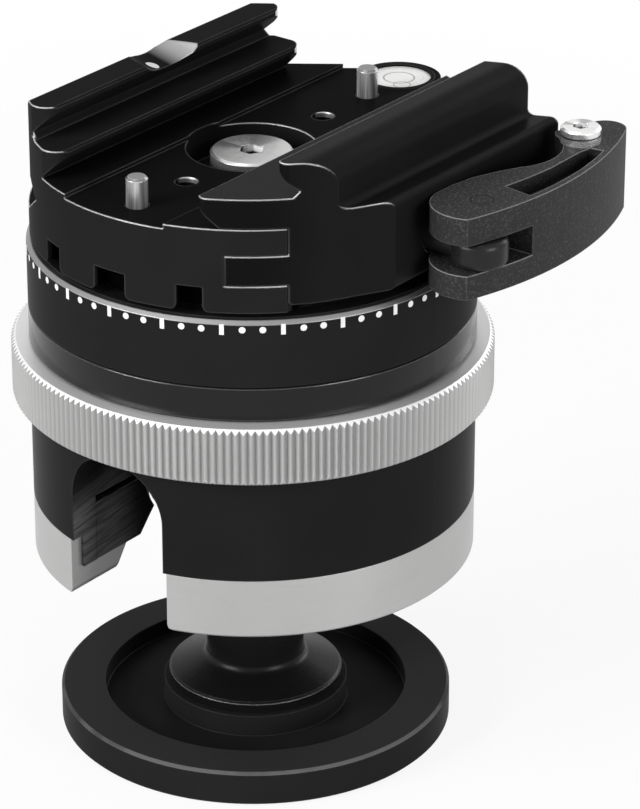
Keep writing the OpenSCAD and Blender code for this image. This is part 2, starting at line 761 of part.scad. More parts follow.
// Outline of the clamp base: a circle and a small round lobe, with straight flanks that leave the circle
module clamp_outline() {
    n = [cos(flank_turn), sin(flank_turn)];
    side = lobe_r - 0.1;
    circle(r = clamp_r);
    translate([0, lobe_y]) circle(r = lobe_r);
    polygon([(clamp_r - sink) * n, [side, lobe_y - 0.2], [-side, lobe_y - 0.2], [-n[0], n[1]] * (clamp_r - sink)]);
}

// Rear end of the moving jaw at x
function moving_end(x) = moving_rear_y + (x - moving_lip_x) * tan(moving_slant);

// Outline of the moving jaw from above: round in front, a straight flank to its outer face, a slanted rear end
module jaw_trim(x0, x1) {
    n = [cos(jaw_turn), -sin(jaw_turn)];
    translate([0, 0, clamp_z - over]) {
        cylinder(r = clamp_r, h = far);
        linear_extrude(far) polygon([[x0, 0], (clamp_r - sink) * n, [x1, (clamp_r - sink - x1 * n[0]) / n[1]],
            [x1, moving_end(x1)], [x0, moving_end(x0)]]);
    }
}

// Room outside a rounded corner between the clamp's round front and a jaw's nose at x
function front_corner(x, r) =
    let (side = sign(x), cx = x + side * r, c = [cx, -sqrt((clamp_r - r) * (clamp_r - r) - cx * cx)],
        turn = atan2(c[1], c[0]))
    concat(round_off(c, r, turn, side < 0 ? 0 : -180), [[x - side * over, -clamp_r - over],
        (clamp_r + 3 * over) * [cos(turn), sin(turn)]]);

// Room outside a rounded corner between a jaw's rear end at y and its nose at x
function rear_corner(x, y, r) =
    let (side = sign(x), c = [x + side * r, y - r])
    concat(round_off(c, r, side < 0 ? 0 : 180, 90), [[x - side * over, y + over]]);

// A corner's room from height z upwards
module corner_cut(z) {
    translate([0, 0, z]) linear_extrude(far) children();
}

// Section of the room over the deck that leaves the fixed jaw standing
function plate_room() =
    let (groove_x = -fixed_lip_x - groove_t, undercut_x = -fixed_ledge_x - (ledge_z - ledge_t - land_z))
    [[-fixed_lip_x - edge - over, top_z + over], [-fixed_lip_x, top_z - edge], [-fixed_lip_x, top_z - lip_t],
     [groove_x, top_z - lip_t - groove_t], [groove_x + 2 * edge, ledge_z], [-fixed_ledge_x - edge, ledge_z],
     [-fixed_ledge_x, ledge_z - edge], [-fixed_ledge_x, ledge_z - ledge_t], [undercut_x, land_z],
     [-channel_w / 2, land_z], [-channel_w / 2, deck_z], [channel_w / 2, deck_z], [channel_w / 2, land_z],
     [far, land_z], [far, top_z + over]];

// Section of the room behind the fixed jaw, with its grip groove
function grip_room() = [[-far, top_z + over], [-fixed_x + 2 * edge + over, top_z + over],
    [-fixed_x, top_z - 2 * edge], [-fixed_x, grip_z + grip_t + 2.9], [-fixed_x + grip_t, grip_z + grip_t + 0.9],
    [-fixed_x - 2, grip_z], [-far, grip_z]];

module clamp_base() {
    color(black) difference() {
        translate([0, 0, clamp_z]) linear_extrude(top_z - clamp_z) clamp_outline();
        along_y(-far, far) polygon(plate_room());
        along_y(-far, far) polygon(grip_room());
        translate([-far, fixed_rear_y, land_z]) cube([2 * far, far, far]);
        translate([-fixed_x, index_y, top_z - index_low + index_r]) rotate([0, 90 + index_slope, 0])
            translate([0, 0, -index_r]) cylinder(r = index_r, h = 2 * index_r);
        corner_cut(ledge_z + edge) polygon(front_corner(-fixed_lip_x, fixed_round));
        corner_cut(ledge_z + edge) polygon(rear_corner(-fixed_lip_x, fixed_rear_y, fixed_round));
        corner_cut(land_z + edge) polygon(front_corner(-fixed_ledge_x, fixed_round));
        corner_cut(land_z + edge) polygon(rear_corner(-fixed_ledge_x, fixed_rear_y, fixed_round));
        translate([parting_x, -far, clamp_z - over]) cube([far, 2 * far, far]);
        translate([tongue_x - slide, -far, tongue_z - slide]) cube([far, 2 * far, tongue_h + 2 * slide]);
        for (i = [-1:1]) rotate(-90 + i * key_step) {
            w = i == 0 ? key_wide : key_narrow;
            along_x(clamp_r - key_depth, far)
                polygon(notch_room(w, clamp_z, clamp_z + key_h, mouth_round * 0.8));
        }
        translate([0, 0, deck_z - pocket_t]) cylinder(d = pocket_d, h = far);
        translate([0, 0, clamp_z - over]) cylinder(r = clamp_screw_d / 2 + fit, h = far);
        translate([0, 0, clamp_z - over]) cylinder(r = hub_neck_r + fit, h = hub_spigot + over);
        for (s = [-1, 1]) {
            translate([deck_x, s * deck_hole_y, deck_z - deck_hole_t]) cylinder(d = deck_hole_d, h = far);
            translate([deck_x, s * stop_y, clamp_z - over]) {
                cylinder(r = stop_d / 2 + run, h = far);
                cylinder(r = stop_bore_r, h = stop_collar_z + stop_collar_t + slide - clamp_z + over);
            }
            translate([0, s * spring_y, bolt_z]) rod_x(tongue_x - slide - spring_base_l, far, spring_hole_r);
        }
        translate([0, lobe_y, level_z]) cylinder(r = cup_d / 2 + fit, h = far);
        translate([0, pivot_y, bolt_z]) rod_x(parting_x - bolt_grip, far, bolt_d / 2 + fit);
    }
}

module clamp_screw() {
    head_z = deck_z - pocket_t + fit;
    color(silver) difference() {
        union() {
            translate([0, 0, head_z]) cylinder(d = clamp_head_d, h = clamp_head_h - edge);
            translate([0, 0, head_z + clamp_head_h - edge])
                cylinder(d1 = clamp_head_d, d2 = clamp_head_d - 2 * edge, h = edge);
            translate([0, 0, hub_z]) cylinder(d = clamp_screw_d, h = head_z - hub_z + fit);
        }
        translate([0, 0, head_z + clamp_head_h - 2.5])
            cylinder(d = clamp_hex / cos(30), h = far, $fn = 6);
    }
}

module level_cup() {
    color(black) translate([0, lobe_y, level_z + fit]) difference() {
        cylinder(d = cup_d, h = cup_h);
        translate([0, 0, over]) cylinder(r = vial_d / 2 + fit, h = far);
    }
}

module level_vial() {
    color(white) translate([0, lobe_y, level_z + over + 2 * fit]) cylinder(d = vial_d, h = cup_h - over - edge);
}

module stop_pin(y) {
    color(silver) translate([deck_x, y, 0]) {
        translate([0, 0, stop_collar_z]) cylinder(d = stop_collar_d, h = stop_collar_t);
        translate([0, 0, stop_collar_z]) cylinder(d = stop_d, h = deck_z + stop_h - edge - stop_collar_z);
        translate([0, 0, deck_z + stop_h - edge]) cylinder(d1 = stop_d, d2 = stop_d - 2 * edge, h = edge);
    }
}

module stop_pin_front() { stop_pin(-stop_y); }

module stop_pin_rear() { stop_pin(stop_y); }

// A coil spring under a stop pin, as a plain sleeve
module pin_spring(y) {
    low_z = stop_plug_z + stop_plug_t + fit;
    color(steel) translate([deck_x, y, low_z]) difference() {
        cylinder(d = stop_d + 2 * spring_wire, h = stop_collar_z - fit - low_z);
        translate([0, 0, -over]) cylinder(d = stop_d, h = far);
    }
}

module front_pin_spring() { pin_spring(-stop_y); }

module rear_pin_spring() { pin_spring(stop_y); }

module stop_pin_plugs() {
    color(steel) for (s = [-1, 1]) translate([deck_x, s * stop_y, stop_plug_z])
        cylinder(r = stop_bore_r - fit, h = stop_plug_t);
}

module draw_bolt() {
    color(steel) difference() {
        union() {
            translate([0, pivot_y, bolt_z]) rod_x(parting_x - bolt_grip + fit, pivot_x - pin_d / 2, bolt_d / 2);
            translate([pivot_x, pivot_y, bolt_z]) rotate_extrude() polygon(concat([[0, -eye_h / 2]],
                arc([eye_d / 2 - eye_round, eye_round - eye_h / 2], eye_round, -90, 0, 6),
                arc([eye_d / 2 - eye_round, eye_h / 2 - eye_round], eye_round, 0, 90, 6), [[0, eye_h / 2]]));
        }
        translate([pivot_x, pivot_y, bolt_z - far / 2]) cylinder(r = pin_d / 2 + run, h = far);
    }
}

// Springs that push the moving jaw open, as plain sleeves
module jaw_springs() {
    color(steel) for (s = [-1, 1]) translate([0, s * spring_y, bolt_z]) difference() {
        rod_x(tongue_x - slide - spring_base_l + fit, tongue_x + spring_jaw_l - fit, spring_d / 2);
        rod_x(-far, far, spring_d / 2 - spring_wire);
    }
}

module moving_jaw() {
    groove_x = moving_lip_x + groove_t;
    glide_z = land_z + slide;
    undercut_x = moving_ledge_x + ledge_z - ledge_t - glide_z;
    part_x = parting_x + slide;
    fillet = 1;
    color(black) difference() {
        intersection() {
            along_y(-clamp_r, moving_end(moving_out_x) + 1) polygon(concat(
                [[moving_lip_x, top_z - edge], [moving_lip_x + edge, top_z]],
                arc([moving_back_x - jaw_round, top_z - jaw_round], jaw_round, 90, 0),
                arc([moving_back_x + fillet, shelf_z + fillet], fillet, 180, 270),
                arc([moving_out_x - fillet, shelf_z - fillet], fillet, 90, 0),
                [[moving_out_x, jaw_low_z + edge], [moving_out_x - edge, jaw_low_z],
                 [part_x + edge, jaw_low_z], [part_x, jaw_low_z + edge], [part_x, tongue_z],
                 [tongue_x, tongue_z], [tongue_x, tongue_z + tongue_h], [part_x, tongue_z + tongue_h],
                 [part_x, glide_z], [undercut_x, glide_z], [moving_ledge_x, ledge_z - ledge_t],
                 [moving_ledge_x, ledge_z - edge], [moving_ledge_x + edge, ledge_z],
                 [groove_x - 2 * edge, ledge_z], [groove_x, top_z - lip_t - groove_t],
                 [moving_lip_x, top_z - lip_t]]));
            jaw_trim(over, moving_out_x + edge);
        }
        corner_cut(ledge_z + edge) polygon(front_corner(moving_lip_x, moving_round));
        corner_cut(glide_z + edge) polygon(front_corner(moving_ledge_x, moving_round));
        translate([0, pivot_y, bolt_z]) rod_x(0, far, bolt_d / 2 + 2 * slide);
        for (s = [-1, 1]) translate([0, s * spring_y, bolt_z]) rod_x(0, tongue_x + spring_jaw_l, spring_hole_r);
    }
}

// Angle, seen from circle c, of the point where it meets circle d ahead of it on the -Y side
function meet_turn(c, c_r, d, d_r) =
    let (gap = norm(d - c), along = (gap * gap + c_r * c_r - d_r * d_r) / (2 * gap))
    atan2(d[1] - c[1], d[0] - c[0]) - acos(along / c_r);

// The lever's outline from above: bowed outer edge, tip, finger bay, heel and round cam head
function lever_outline() =
    let (cam = [cam_x, cam_y], start = meet_turn(bow, bow_r, cam, cam_r),
        corner = bow + bow_r * [cos(start), sin(start)],
        head = atan2(corner[1] - cam_y, corner[0] - cam_x))
    concat(arc(bow, bow_r, start, tip_turn, 24), arc(tip, tip_r, tip_turn + 8, 155, 12),
        arc(nose, nose_r, 160, 225, 6), arc(bay, bay_r, nose_turn, -bay_turn, 16),
        [[heel_x + 1.9, cam_y + 0.75 * (bay_low - cam_y)], [heel_x + 0.65, cam_y + 0.5 * (bay_low - cam_y)],
         [heel_x, cam_y + 0.21 * (bay_low - cam_y)]],
        arc(cam, cam_r, 180, 360 + head - 6, 24));

// The crescent pocket's outline from above
function crescent_outline() =
    let (r = bow_r - crescent_rim, y0 = cam_y + crescent_y, y1 = y0 + crescent_l, x0 = bow[0] + r - crescent_w)
    concat(arc(bow, r, asin((y0 - bow[1]) / r), asin((y1 - bow[1]) / r), 12), [[x0 + 0.2, y1 - 0.3],
        [x0 - 0.1, y1 - 2.2], [x0, (y0 + y1) / 2], [x0 - 0.4, y0 + 5], [x0 - 1.1, y0 + 0.6]]);

module lever() {
    color(grey) difference() {
        translate([0, 0, lever_low_z]) linear_extrude(lever_top_z - lever_low_z) polygon(lever_outline());
        translate([cam_x - far / 2, slot_end_y - far, bolt_z - slot_h / 2]) cube([far, far, slot_h]);
        translate([0, 0, lever_top_z - crescent_t]) linear_extrude(far) polygon(crescent_outline());
        translate([pivot_x, pivot_y, lever_low_z - over])
            cylinder(r = pin_d / 2 + fit, h = lever_top_z - lever_low_z);
        translate([stud[0], stud[1], lever_top_z - stud_shank_l - fit])
            cylinder(d = stud_shank_d + 2 * fit, h = far);
    }
}

module lever_pin() {
    color(steel) translate([pivot_x, pivot_y, lever_low_z + edge])
        cylinder(d = pin_d, h = lever_top_z - over - fit - lever_low_z - edge);
}

module lever_stud() {
    color(silver) translate([stud[0], stud[1], lever_top_z]) difference() {
        union() {
            translate([0, 0, fit]) cylinder(d = stud_d, h = stud_h - edge);
            translate([0, 0, stud_h - edge]) cylinder(d1 = stud_d, d2 = stud_d - 2 * edge, h = edge);
            translate([0, 0, -stud_shank_l]) cylinder(d = stud_shank_d, h = stud_shank_l + over);
        }
        translate([0, 0, stud_h - 1.2]) cylinder(d = 2.3, h = far, $fn = 6);
    }
}

foot_disc();
thread_bush();
foot_screws();
ball_stem();
ball();
drop_ring();
lower_housing();
lower_ball_seat();
upper_ball_seat();
upper_housing();
lock_ring();
planet_gear_1();
planet_gear_2();
planet_gear_3();
housing_screws();
scale_ring();
pan_washers();
pan_retainer();
pan_hub();
clamp_base();
clamp_screw();
level_cup();
level_vial();
stop_pin_front();
stop_pin_rear();
front_pin_spring();
rear_pin_spring();
stop_pin_plugs();
draw_bolt();
jaw_springs();
moving_jaw();
lever();
lever_pin();
lever_stud();
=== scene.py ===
# %% [markdown]
# # An inverted ball head for a tripod
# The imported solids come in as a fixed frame. This lesson gives them their finishes, adds the fine
# pieces that the solids leave out, and sets up a white studio with the camera where the
# photographer stood.

# %% Load the frame
import json
import math

import bmesh
import bpy
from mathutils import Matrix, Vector


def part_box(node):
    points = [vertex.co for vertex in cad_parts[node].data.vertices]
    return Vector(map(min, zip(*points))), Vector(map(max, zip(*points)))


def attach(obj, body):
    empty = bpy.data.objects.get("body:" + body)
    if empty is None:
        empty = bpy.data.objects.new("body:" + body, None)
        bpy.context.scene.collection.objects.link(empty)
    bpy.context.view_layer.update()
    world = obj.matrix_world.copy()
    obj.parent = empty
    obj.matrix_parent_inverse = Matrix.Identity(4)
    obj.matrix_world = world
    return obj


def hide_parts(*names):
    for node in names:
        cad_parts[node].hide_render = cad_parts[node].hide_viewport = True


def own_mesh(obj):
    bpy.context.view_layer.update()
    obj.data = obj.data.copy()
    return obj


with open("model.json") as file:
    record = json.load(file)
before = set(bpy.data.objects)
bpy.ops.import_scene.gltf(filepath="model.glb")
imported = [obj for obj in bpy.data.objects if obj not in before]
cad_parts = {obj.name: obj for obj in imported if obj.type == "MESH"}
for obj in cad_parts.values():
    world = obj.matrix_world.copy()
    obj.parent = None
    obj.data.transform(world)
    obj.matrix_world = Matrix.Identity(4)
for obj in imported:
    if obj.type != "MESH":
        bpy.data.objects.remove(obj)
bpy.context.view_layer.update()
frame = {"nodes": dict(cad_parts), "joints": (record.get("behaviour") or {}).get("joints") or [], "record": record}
nodes = frame["nodes"]
MM = 0.001


# %% [markdown]
# ## Sizes that the pieces share
# Marks and worn places have to sit where the solids are. Their places could be typed in, but a
# changed solid would then leave them behind, so the main ones are read from the solids' boxes.


# %% Measure the solids
def top_of(node):
    """The height of a solid's top in millimetres."""
    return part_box(node)[1].z / MM


def radius_of(node):
    """The outer radius of a solid that is round about the head's axis, in millimetres."""
    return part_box(node)[1].x / MM


body_radius = radius_of("scale_ring")
scale_top = top_of("scale_ring")
cup_lip = 0.1
deck = top_of("level_cup") - cup_lip
print("body radius", round(body_radius, 2), "scale top", round(scale_top, 2), "deck", round(deck, 2))

# %% [markdown]
# ## Shader sums as plain expressions
# A finish is a small network of nodes. It could be wired one node and one link at a time, but a mask
# such as "near the rim and facing up" would then fill a page. One class wraps a socket instead, so
# that sums between sockets read like ordinary Python and add their Math nodes by themselves. Its
# `node` method makes every other kind of node.


# %% Wrap a socket
class Wire:
    """A socket in a node tree that can be added, multiplied and fed to other nodes."""

    def __init__(self, tree, socket):
        self.tree = tree
        self.socket = socket

    def feed(self, socket, value):
        """Links a wire to a socket, or sets a plain value on it."""
        if isinstance(value, Wire):
            self.tree.links.new(value.socket, socket)
        else:
            socket.default_value = value

    def node(self, kind, settings, values, out=0):
        """A new node: its settings are set first, then its sockets get their values or links."""
        made = self.tree.nodes.new(kind)
        for name, setting in settings.items():
            setattr(made, name, setting)
        for name, value in values.items():
            self.feed(made.inputs[name], value)
        return Wire(self.tree, made.outputs[out])

    def sum(self, operation, first, second):
        """A Math node."""
        return self.node("ShaderNodeMath", {"operation": operation}, {0: first, 1: second})

    def __add__(self, other):
        return self.sum("ADD", self, other)

    def __radd__(self, other):
        return self.sum("ADD", other, self)

    def __sub__(self, other):
        return self.sum("SUBTRACT", self, other)

    def __rsub__(self, other):
        return self.sum("SUBTRACT", other, self)

    def __mul__(self, other):
        return self.sum("MULTIPLY", self, other)

    def __rmul__(self, other):
        return self.sum("MULTIPLY", other, self)

    def __truediv__(self, other):
        return self.sum("DIVIDE", self, other)

    def __rtruediv__(self, other):
        return self.sum("DIVIDE", other, self)

    def __pow__(self, other):
        return self.sum("POWER", self, other)

    def __rpow__(self, other):
        return self.sum("POWER", other, self)

    def __gt__(self, other):
        return self.sum("GREATER_THAN", self, other)

    def __lt__(self, other):
        return self.sum("LESS_THAN", self, other)


print("sockets can be added, multiplied and compared")

# %% [markdown]
# ## Building blocks of a finish
# Every finish needs the same few things: the place on the object in millimetres, noise at a scale
# given in millimetres, and a mask of the sharp edges. Edges could be picked by hand on each mesh,
# but the solids are not to be touched. The Bevel node rounds the shading across an edge instead,
# and where its normal leaves the face's own normal, the coat of the real part is thin or broken.


# %% Make the building blocks
class Finish:
    """A material with its principled shader, and the few patterns that all finishes share."""

    def __init__(self, name, **constants):
        self.material = bpy.data.materials.new(name)
        self.material.use_nodes = True
        self.tree = self.material.node_tree
        self.shader = self.tree.nodes["Principled BSDF"]
        self.start = Wire(self.tree, self.shader.outputs[0])
        for socket, value in constants.items():
            self.shader.inputs[socket.replace("_", " ")].default_value = value
        metres = self.start.node("ShaderNodeTexCoord", {}, {}, "Object")
        self.place = self.start.node("ShaderNodeVectorMath", {"operation": "SCALE"},
                                     {0: metres, "Scale": 1 / MM})
        self.axes = self.parts(self.place)

    def parts(self, vector):
        """The three numbers of a vector, along x, y and z."""
        return [self.start.node("ShaderNodeSeparateXYZ", {}, {0: vector}, axis) for axis in "XYZ"]

    def vector(self, **parts):
        """A vector made from numbers named X, Y and Z."""
        return self.start.node("ShaderNodeCombineXYZ", {}, parts)

    def noise(self, size, detail=3.0, place=None):
        """Noise from 0 to 1 whose lumps are about this many millimetres across."""
        values = {"Vector": place or self.place, "Scale": 1 / size, "Detail": detail}
        return self.start.node("ShaderNodeTexNoise", {}, values, "Fac")

    def spread(self, value, low, high, to_low=0.0, to_high=1.0):
        """A smooth step between two values."""
        return self.start.node("ShaderNodeMapRange", {"interpolation_type": "SMOOTHSTEP"},
                               {0: value, 1: low, 2: high, 3: to_low, 4: to_high})

    def between(self, value, low, high, soft=0.05):
        """A mask that is 1 between two values, with soft borders."""
        above = self.spread(value, low - soft, low + soft)
        return above * self.spread(value, high + soft, high - soft)

    def distance(self, middle_x=0.0, middle_y=0.0):
        """Distance in millimetres from an upright line, the head's own axis if none is given."""
        x, y = self.axes[:2]
        across = x - middle_x
        along = y - middle_y
        return (across * across + along * along) ** 0.5

    def face(self):
        """The face's own normal."""
        return self.start.node("ShaderNodeNewGeometry", {}, {}, "Normal")

    def facing(self, normal):
        """The three parts of a normal along the object's own axes, each from -1 to 1."""
        settings = {"vector_type": "NORMAL", "convert_from": "WORLD", "convert_to": "OBJECT"}
        return self.parts(self.start.node("ShaderNodeVectorTransform", settings, {0: normal}))

    def slope(self):
        """How far a face looks up: 1 on top, 0 on a wall and -1 below."""
        return self.facing(self.face())[2]

    def rounded(self, radius):
        """A normal that is rounded across sharp edges by this many millimetres."""
        return self.start.node("ShaderNodeBevel", {"samples": 6}, {"Radius": radius * MM})

    def edges(self, soft):
        """A mask that is 1 on sharp edges and 0 on faces."""
        flat, sharp = 0.985, 0.86
        agreement = self.start.node("ShaderNodeVectorMath", {"operation": "DOT_PRODUCT"},
                                    {0: soft, 1: self.face()}, "Value")
        return self.spread(agreement, flat, sharp)

    def blend(self, mask, first, second):
        """A colour between two colours."""
        values = {0: mask, 6: first, 7: second}
        return self.start.node("ShaderNodeMix", {"data_type": "RGBA"}, values, 2)

    def bump(self, height, depth, normal=None):
        """A normal pushed by a height whose range stands for this many millimetres."""
        values = {"Height": height, "Strength": 1.0, "Distance": depth * MM}
        if normal is not None:
            values["Normal"] = normal
        return self.start.node("ShaderNodeBump", {}, values)

    def use(self, **links):
        """Feeds what varies to the shader's sockets, and hands over the material."""
        for socket, value in links.items():
            self.start.feed(self.shader.inputs[socket.replace("_", " ")], value)
        return self.material


def grey(level, warm=0.0):
    return (level * (1 + warm), level, level * (1 - warm), 1.0)


print("a finish has noise, masks, blends and bumps")

# %% [markdown]
# ## Black anodised aluminium
# The clamp, the housing and the foot are blasted and anodised black. The coat is nearly black and
# drinks most of the light. It could be a plain black with the usual gloss, but that mirrors the
# white room and turns grey, so its index of refraction is set low.
#
# Along edges that were broken after anodising, the metal shows through in patches as a thin pale line. It is dull,
# so it is mostly a pale colour and only partly metal. The line is also a painted highlight: it is strong on edges
# that look up and faint on the rest, and on the clamp and its jaw it is strongest on edges that look forward,
# weaker on edges that look back and faintest along the long sides. The jaw's front end face is darker than its
# long faces.


# %% Mix the black finish
blast_size = 0.16
blast_depth = 0.004
cloud_size = 9.0
edge_metallic = 0.25
rear_bareness = 0.3


def black_coat(coat, rough, level=0.012, line=0.8, edge_width=0.28, bar=None, end_level=None,
               where=1.0):
    """The sockets of a black finish, so that a piece can add its own marks before they are used.

    level and line say how pale the coat and its edge lines are, and where masks the edge lines. The share for long
    edges is how much of the painted highlight stays on edges that look neither forward nor back, and end_level is
    the coat's level on its forward-facing end face.
    """
    soft = coat.rounded(edge_width)
    along, up = coat.facing(soft)[1:]
    fine = coat.noise(blast_size, detail=2.0)
    cloud = coat.noise(cloud_size)
    wear = coat.spread(cloud, 0.3, 0.65, to_low=0.7)
    # Painted highlight: the edge line is strong on edges that look up and faint on the rest.
    upward_edge_highlight = coat.spread(up, 0.1, 0.45, to_low=0.05)
    bare = coat.edges(soft) * wear * upward_edge_highlight * where
    # Painted highlight: edges that look forward get the full line, edges that look back less, and long side edges
    # the least.
    if bar is not None:
        front_edge_highlight = coat.spread(along, -0.15, -0.4)
        rear_edge_highlight = coat.spread(along, 0.15, 0.4)
        bare = bare * (front_edge_highlight * (1 - bar) + rear_edge_highlight * rear_bareness + bar)
    body = coat.blend(cloud, grey(level * 0.85), grey(level * 1.2))
    # Darker on the forward-facing end face.
    if end_level is not None:
        forward_end_face = coat.spread(coat.facing(coat.face())[1], -0.5, -0.8)
        body = coat.blend(forward_end_face, body, grey(end_level))
    return {
        "Base_Color": coat.blend(bare, body, grey(line)),
        "Roughness": rough + (fine - 0.5) * 0.12 + (cloud - 0.5) * 0.08,
        "Metallic": bare * edge_metallic,
        "Normal": coat.bump(fine, blast_depth, soft),
    }


# %% Coat the plain black pieces
coat_index = 1.06
jaw_index = 1.09


def black_anodised(name, rough, index=coat_index, **sizes):
    coat = Finish(name, IOR=index)
    return coat.use(**black_coat(coat, rough, **sizes))


satin_black = black_anodised("black_satin", rough=0.36)
jaw_black = black_anodised("black_jaw", rough=0.3, index=jaw_index, level=0.008, edge_width=0.4,
                           bar=0.5, end_level=0.0042)
deep_black = black_anodised("black_inside", rough=0.5, level=0.005, line=0.05)
print("black finishes:", satin_black.name, jaw_black.name, deep_black.name)

# %% [markdown]
# ## Turned black
# The foot, the stem and the scale ring were turned before they were anodised, so fine lathe lines
# run round them. They could be cut into the meshes as grooves, but they are thinner than a hair.
# Noise that is stretched round the axis and squeezed across it gives the same glint as a bump.


# %% Add lathe lines to the black
def angle_round(finish, middle=(0.0, 0.0)):
    """The angle round an upright axis, in radians."""
    x, y = finish.axes[:2]
    return finish.start.sum("ARCTAN2", y - middle[1], x - middle[0])


def lathe_lines(finish, pitch, middle=(0.0, 0.0)):
    """Noise in fine lines round an upright axis, about a pitch apart."""
    line_length = 0.5
    stretched = finish.vector(X=angle_round(finish, middle) / line_length,
                              Y=finish.distance(*middle) / pitch,
                              Z=finish.axes[2] / pitch)
    return finish.noise(1.0, detail=2.0, place=stretched)


def turned_black(coat, rough, **sizes):
    """The sockets of a black finish with lathe lines round the head's axis."""
    sockets = black_coat(coat, rough, **sizes)
    lines = lathe_lines(coat, pitch=0.12)
    sockets["Roughness"] = sockets["Roughness"] + (lines - 0.5) * 0.16
    sockets["Normal"] = coat.bump(lines, blast_depth, sockets["Normal"])
    return sockets


print("lathe lines ready")

# %% [markdown]
# ## The foot
# The foot is a dished disc. Its flat top rim is a little paler than the dish, and the chamfer round the rim is
# worn in places. Both could be pieces of their own, but they are the same metal, so masks of radius and slope find
# them on the solid.


# %% Coat the foot
def foot_finish(name, rim_radius, dish_radius):
    coat = Finish(name, IOR=coat_index)
    sockets = turned_black(coat, rough=0.42, level=0.013, line=0.03)
    flat_rim_level, worn_level = 0.026, 0.1
    radius = coat.distance()
    slope = coat.slope()
    flat_rim = coat.spread(radius, dish_radius - 0.3, dish_radius) * coat.spread(slope, 0.85, 0.95)
    chamfer = coat.spread(radius, rim_radius - 1.0, rim_radius - 0.6)
    chamfer = chamfer * coat.between(slope, 0.4, 0.9)
    worn = coat.spread(coat.noise(cloud_size), 0.35, 0.6, to_low=0.3)
    colour = coat.blend(flat_rim, sockets["Base_Color"], grey(flat_rim_level))
    sockets["Base_Color"] = coat.blend(chamfer * worn, colour, grey(worn_level))
    return coat.use(**sockets)


foot_black = foot_finish("black_foot", radius_of("foot_disc"), dish_radius=20.9)
print("foot:", foot_black.name)

# %% [markdown]
# ## The stem and the scale ring
# The stem is smoother than the rest, so its fillet shines, and only its flange has a pale edge line, partly wear
# and partly a painted highlight. The scale ring's top edge has a chamfer that was cut after anodising and shines
# along its whole length. A pale line from the Bevel node would come and go, so the mask takes the solid's own
# chamfer, found by its height, its radius and its slope.


# %% Coat the stem and the scale ring
stem_index = 1.2


def stem_finish(name, flange_radius):
    coat = Finish(name, IOR=stem_index)
    on_flange = coat.spread(coat.distance(), flange_radius - 1.0, flange_radius - 0.6)
    return coat.use(**turned_black(coat, rough=0.3, level=0.005, line=0.4, where=on_flange))


def scale_finish(name, ring_radius, ring_top):
    coat = Finish(name, IOR=coat_index)
    sockets = turned_black(coat, rough=0.4, line=0.2)
    cut_level, cut_height = 0.26, 0.6
    rim = coat.spread(coat.distance(), ring_radius - 1.5, ring_radius - 1.2)
    cut = rim * coat.spread(coat.slope(), 0.45, 0.55) * (coat.axes[2] > ring_top - cut_height)
    sockets["Base_Color"] = coat.blend(cut, sockets["Base_Color"], grey(cut_level))
    sockets["Metallic"] = coat.start.sum("MAXIMUM", sockets["Metallic"], cut)
    return coat.use(**sockets)


stem_black = stem_finish("black_stem", flange_radius=12.0)
scale_black = scale_finish("black_scale", body_radius, scale_top)
print("turned black:", stem_black.name, scale_black.name)

# %% [markdown]
# ## Marks on the clamp
# Across the fixed jaw's lip runs a shallow groove whose coat is cut away on one wall, and a white dot in it marks
# the middle of the clamp. The cut wall is painted from shade to lit across the groove. In the two tapped holes in
# the deck, the far wall near the top is painted pale metal as a painted highlight. These places could be split off
# as pieces, but the clamp is one solid, so each is found by its place: the groove is part of a sloping cylinder,
# and every other face of the clamp lies outside that cylinder.


# %% Find the groove and the tapped holes
def groove_marks(coat):
    """Masks of the groove's cut wall and of its dot, and the cut wall's colour, painted from shade to lit."""
    x, y, z = coat.axes
    radius, middle_x, middle_y, depth = 9.0, -18.9, 1.0, 0.6
    dot_x, dot_y, dot_radius = -15.9, -1.0, 0.9
    lip_rise, lip_width = 1.1, 4.9
    tilt = math.atan2(lip_rise, lip_width)
    across = x - middle_x
    along = y - middle_y
    down = z - (top_of("clamp_base") - depth + radius)
    on_axis = across * math.cos(tilt) - down * math.sin(tilt)
    off_axis = (across * across + along * along + down * down - on_axis * on_axis) ** 0.5
    groove = coat.spread(off_axis, radius + 0.08, radius + 0.03)
    bare_wall = groove * coat.spread(along, 0.2, 1.2)
    dot = groove * coat.spread(coat.distance(dot_x, dot_y), dot_radius + 0.05, dot_radius - 0.05)
    # Painted shade turning to painted light across the groove's cut wall.
    shaded_metal, lit_metal = grey(0.08), grey(0.3)
    metal = coat.blend(coat.spread(along, 0.6, 3.2), shaded_metal, lit_metal)
    return bare_wall, dot, metal


def hole_far_wall_highlight(coat):
    """A mask of the painted highlight on the far wall near the top of the two tapped holes."""
    y, z = coat.axes[1:]
    hole_x, hole_y, hole_radius, turn_depth = 0.7, 14.5, 1.5, 0.7
    mask = 0.0
    for side in (-1, 1):
        radius = coat.distance(hole_x, side * hole_y)
        bore = coat.spread(radius, hole_radius + 0.06, hole_radius + 0.03)
        mask = mask + bore * coat.spread(y, side * hole_y, side * hole_y + 0.8)
    return mask * coat.between(z, deck - turn_depth, deck + 0.1)


print("groove and holes can be found on the clamp")

# %% [markdown]
# ## The clamp's black
# The rear corners of the two lips get a painted reflection in pale metal. The hollow behind the teeth of the lower
# rim sees no light and is very dark, and so is the floor of the channel, where plates slide. Darker lamps could
# give that too, but then the outer walls would sink with it, so the two places get painted shade, a deeper black
# of their own.


# %% Coat the clamp
clamp_index = 1.03


def lip_corner_reflection(coat):
    """A mask of the painted reflection on the lips' rear corners."""
    y, z = coat.axes[1:]
    facing_x, facing_y = coat.facing(coat.face())[:2]
    rear_corner = coat.spread(facing_y, 0.1, 0.2) * coat.spread(facing_x, 0.2, 0.3)
    return coat.spread(y, 17.0, 18.0) * rear_corner * (z > deck + 1.0)


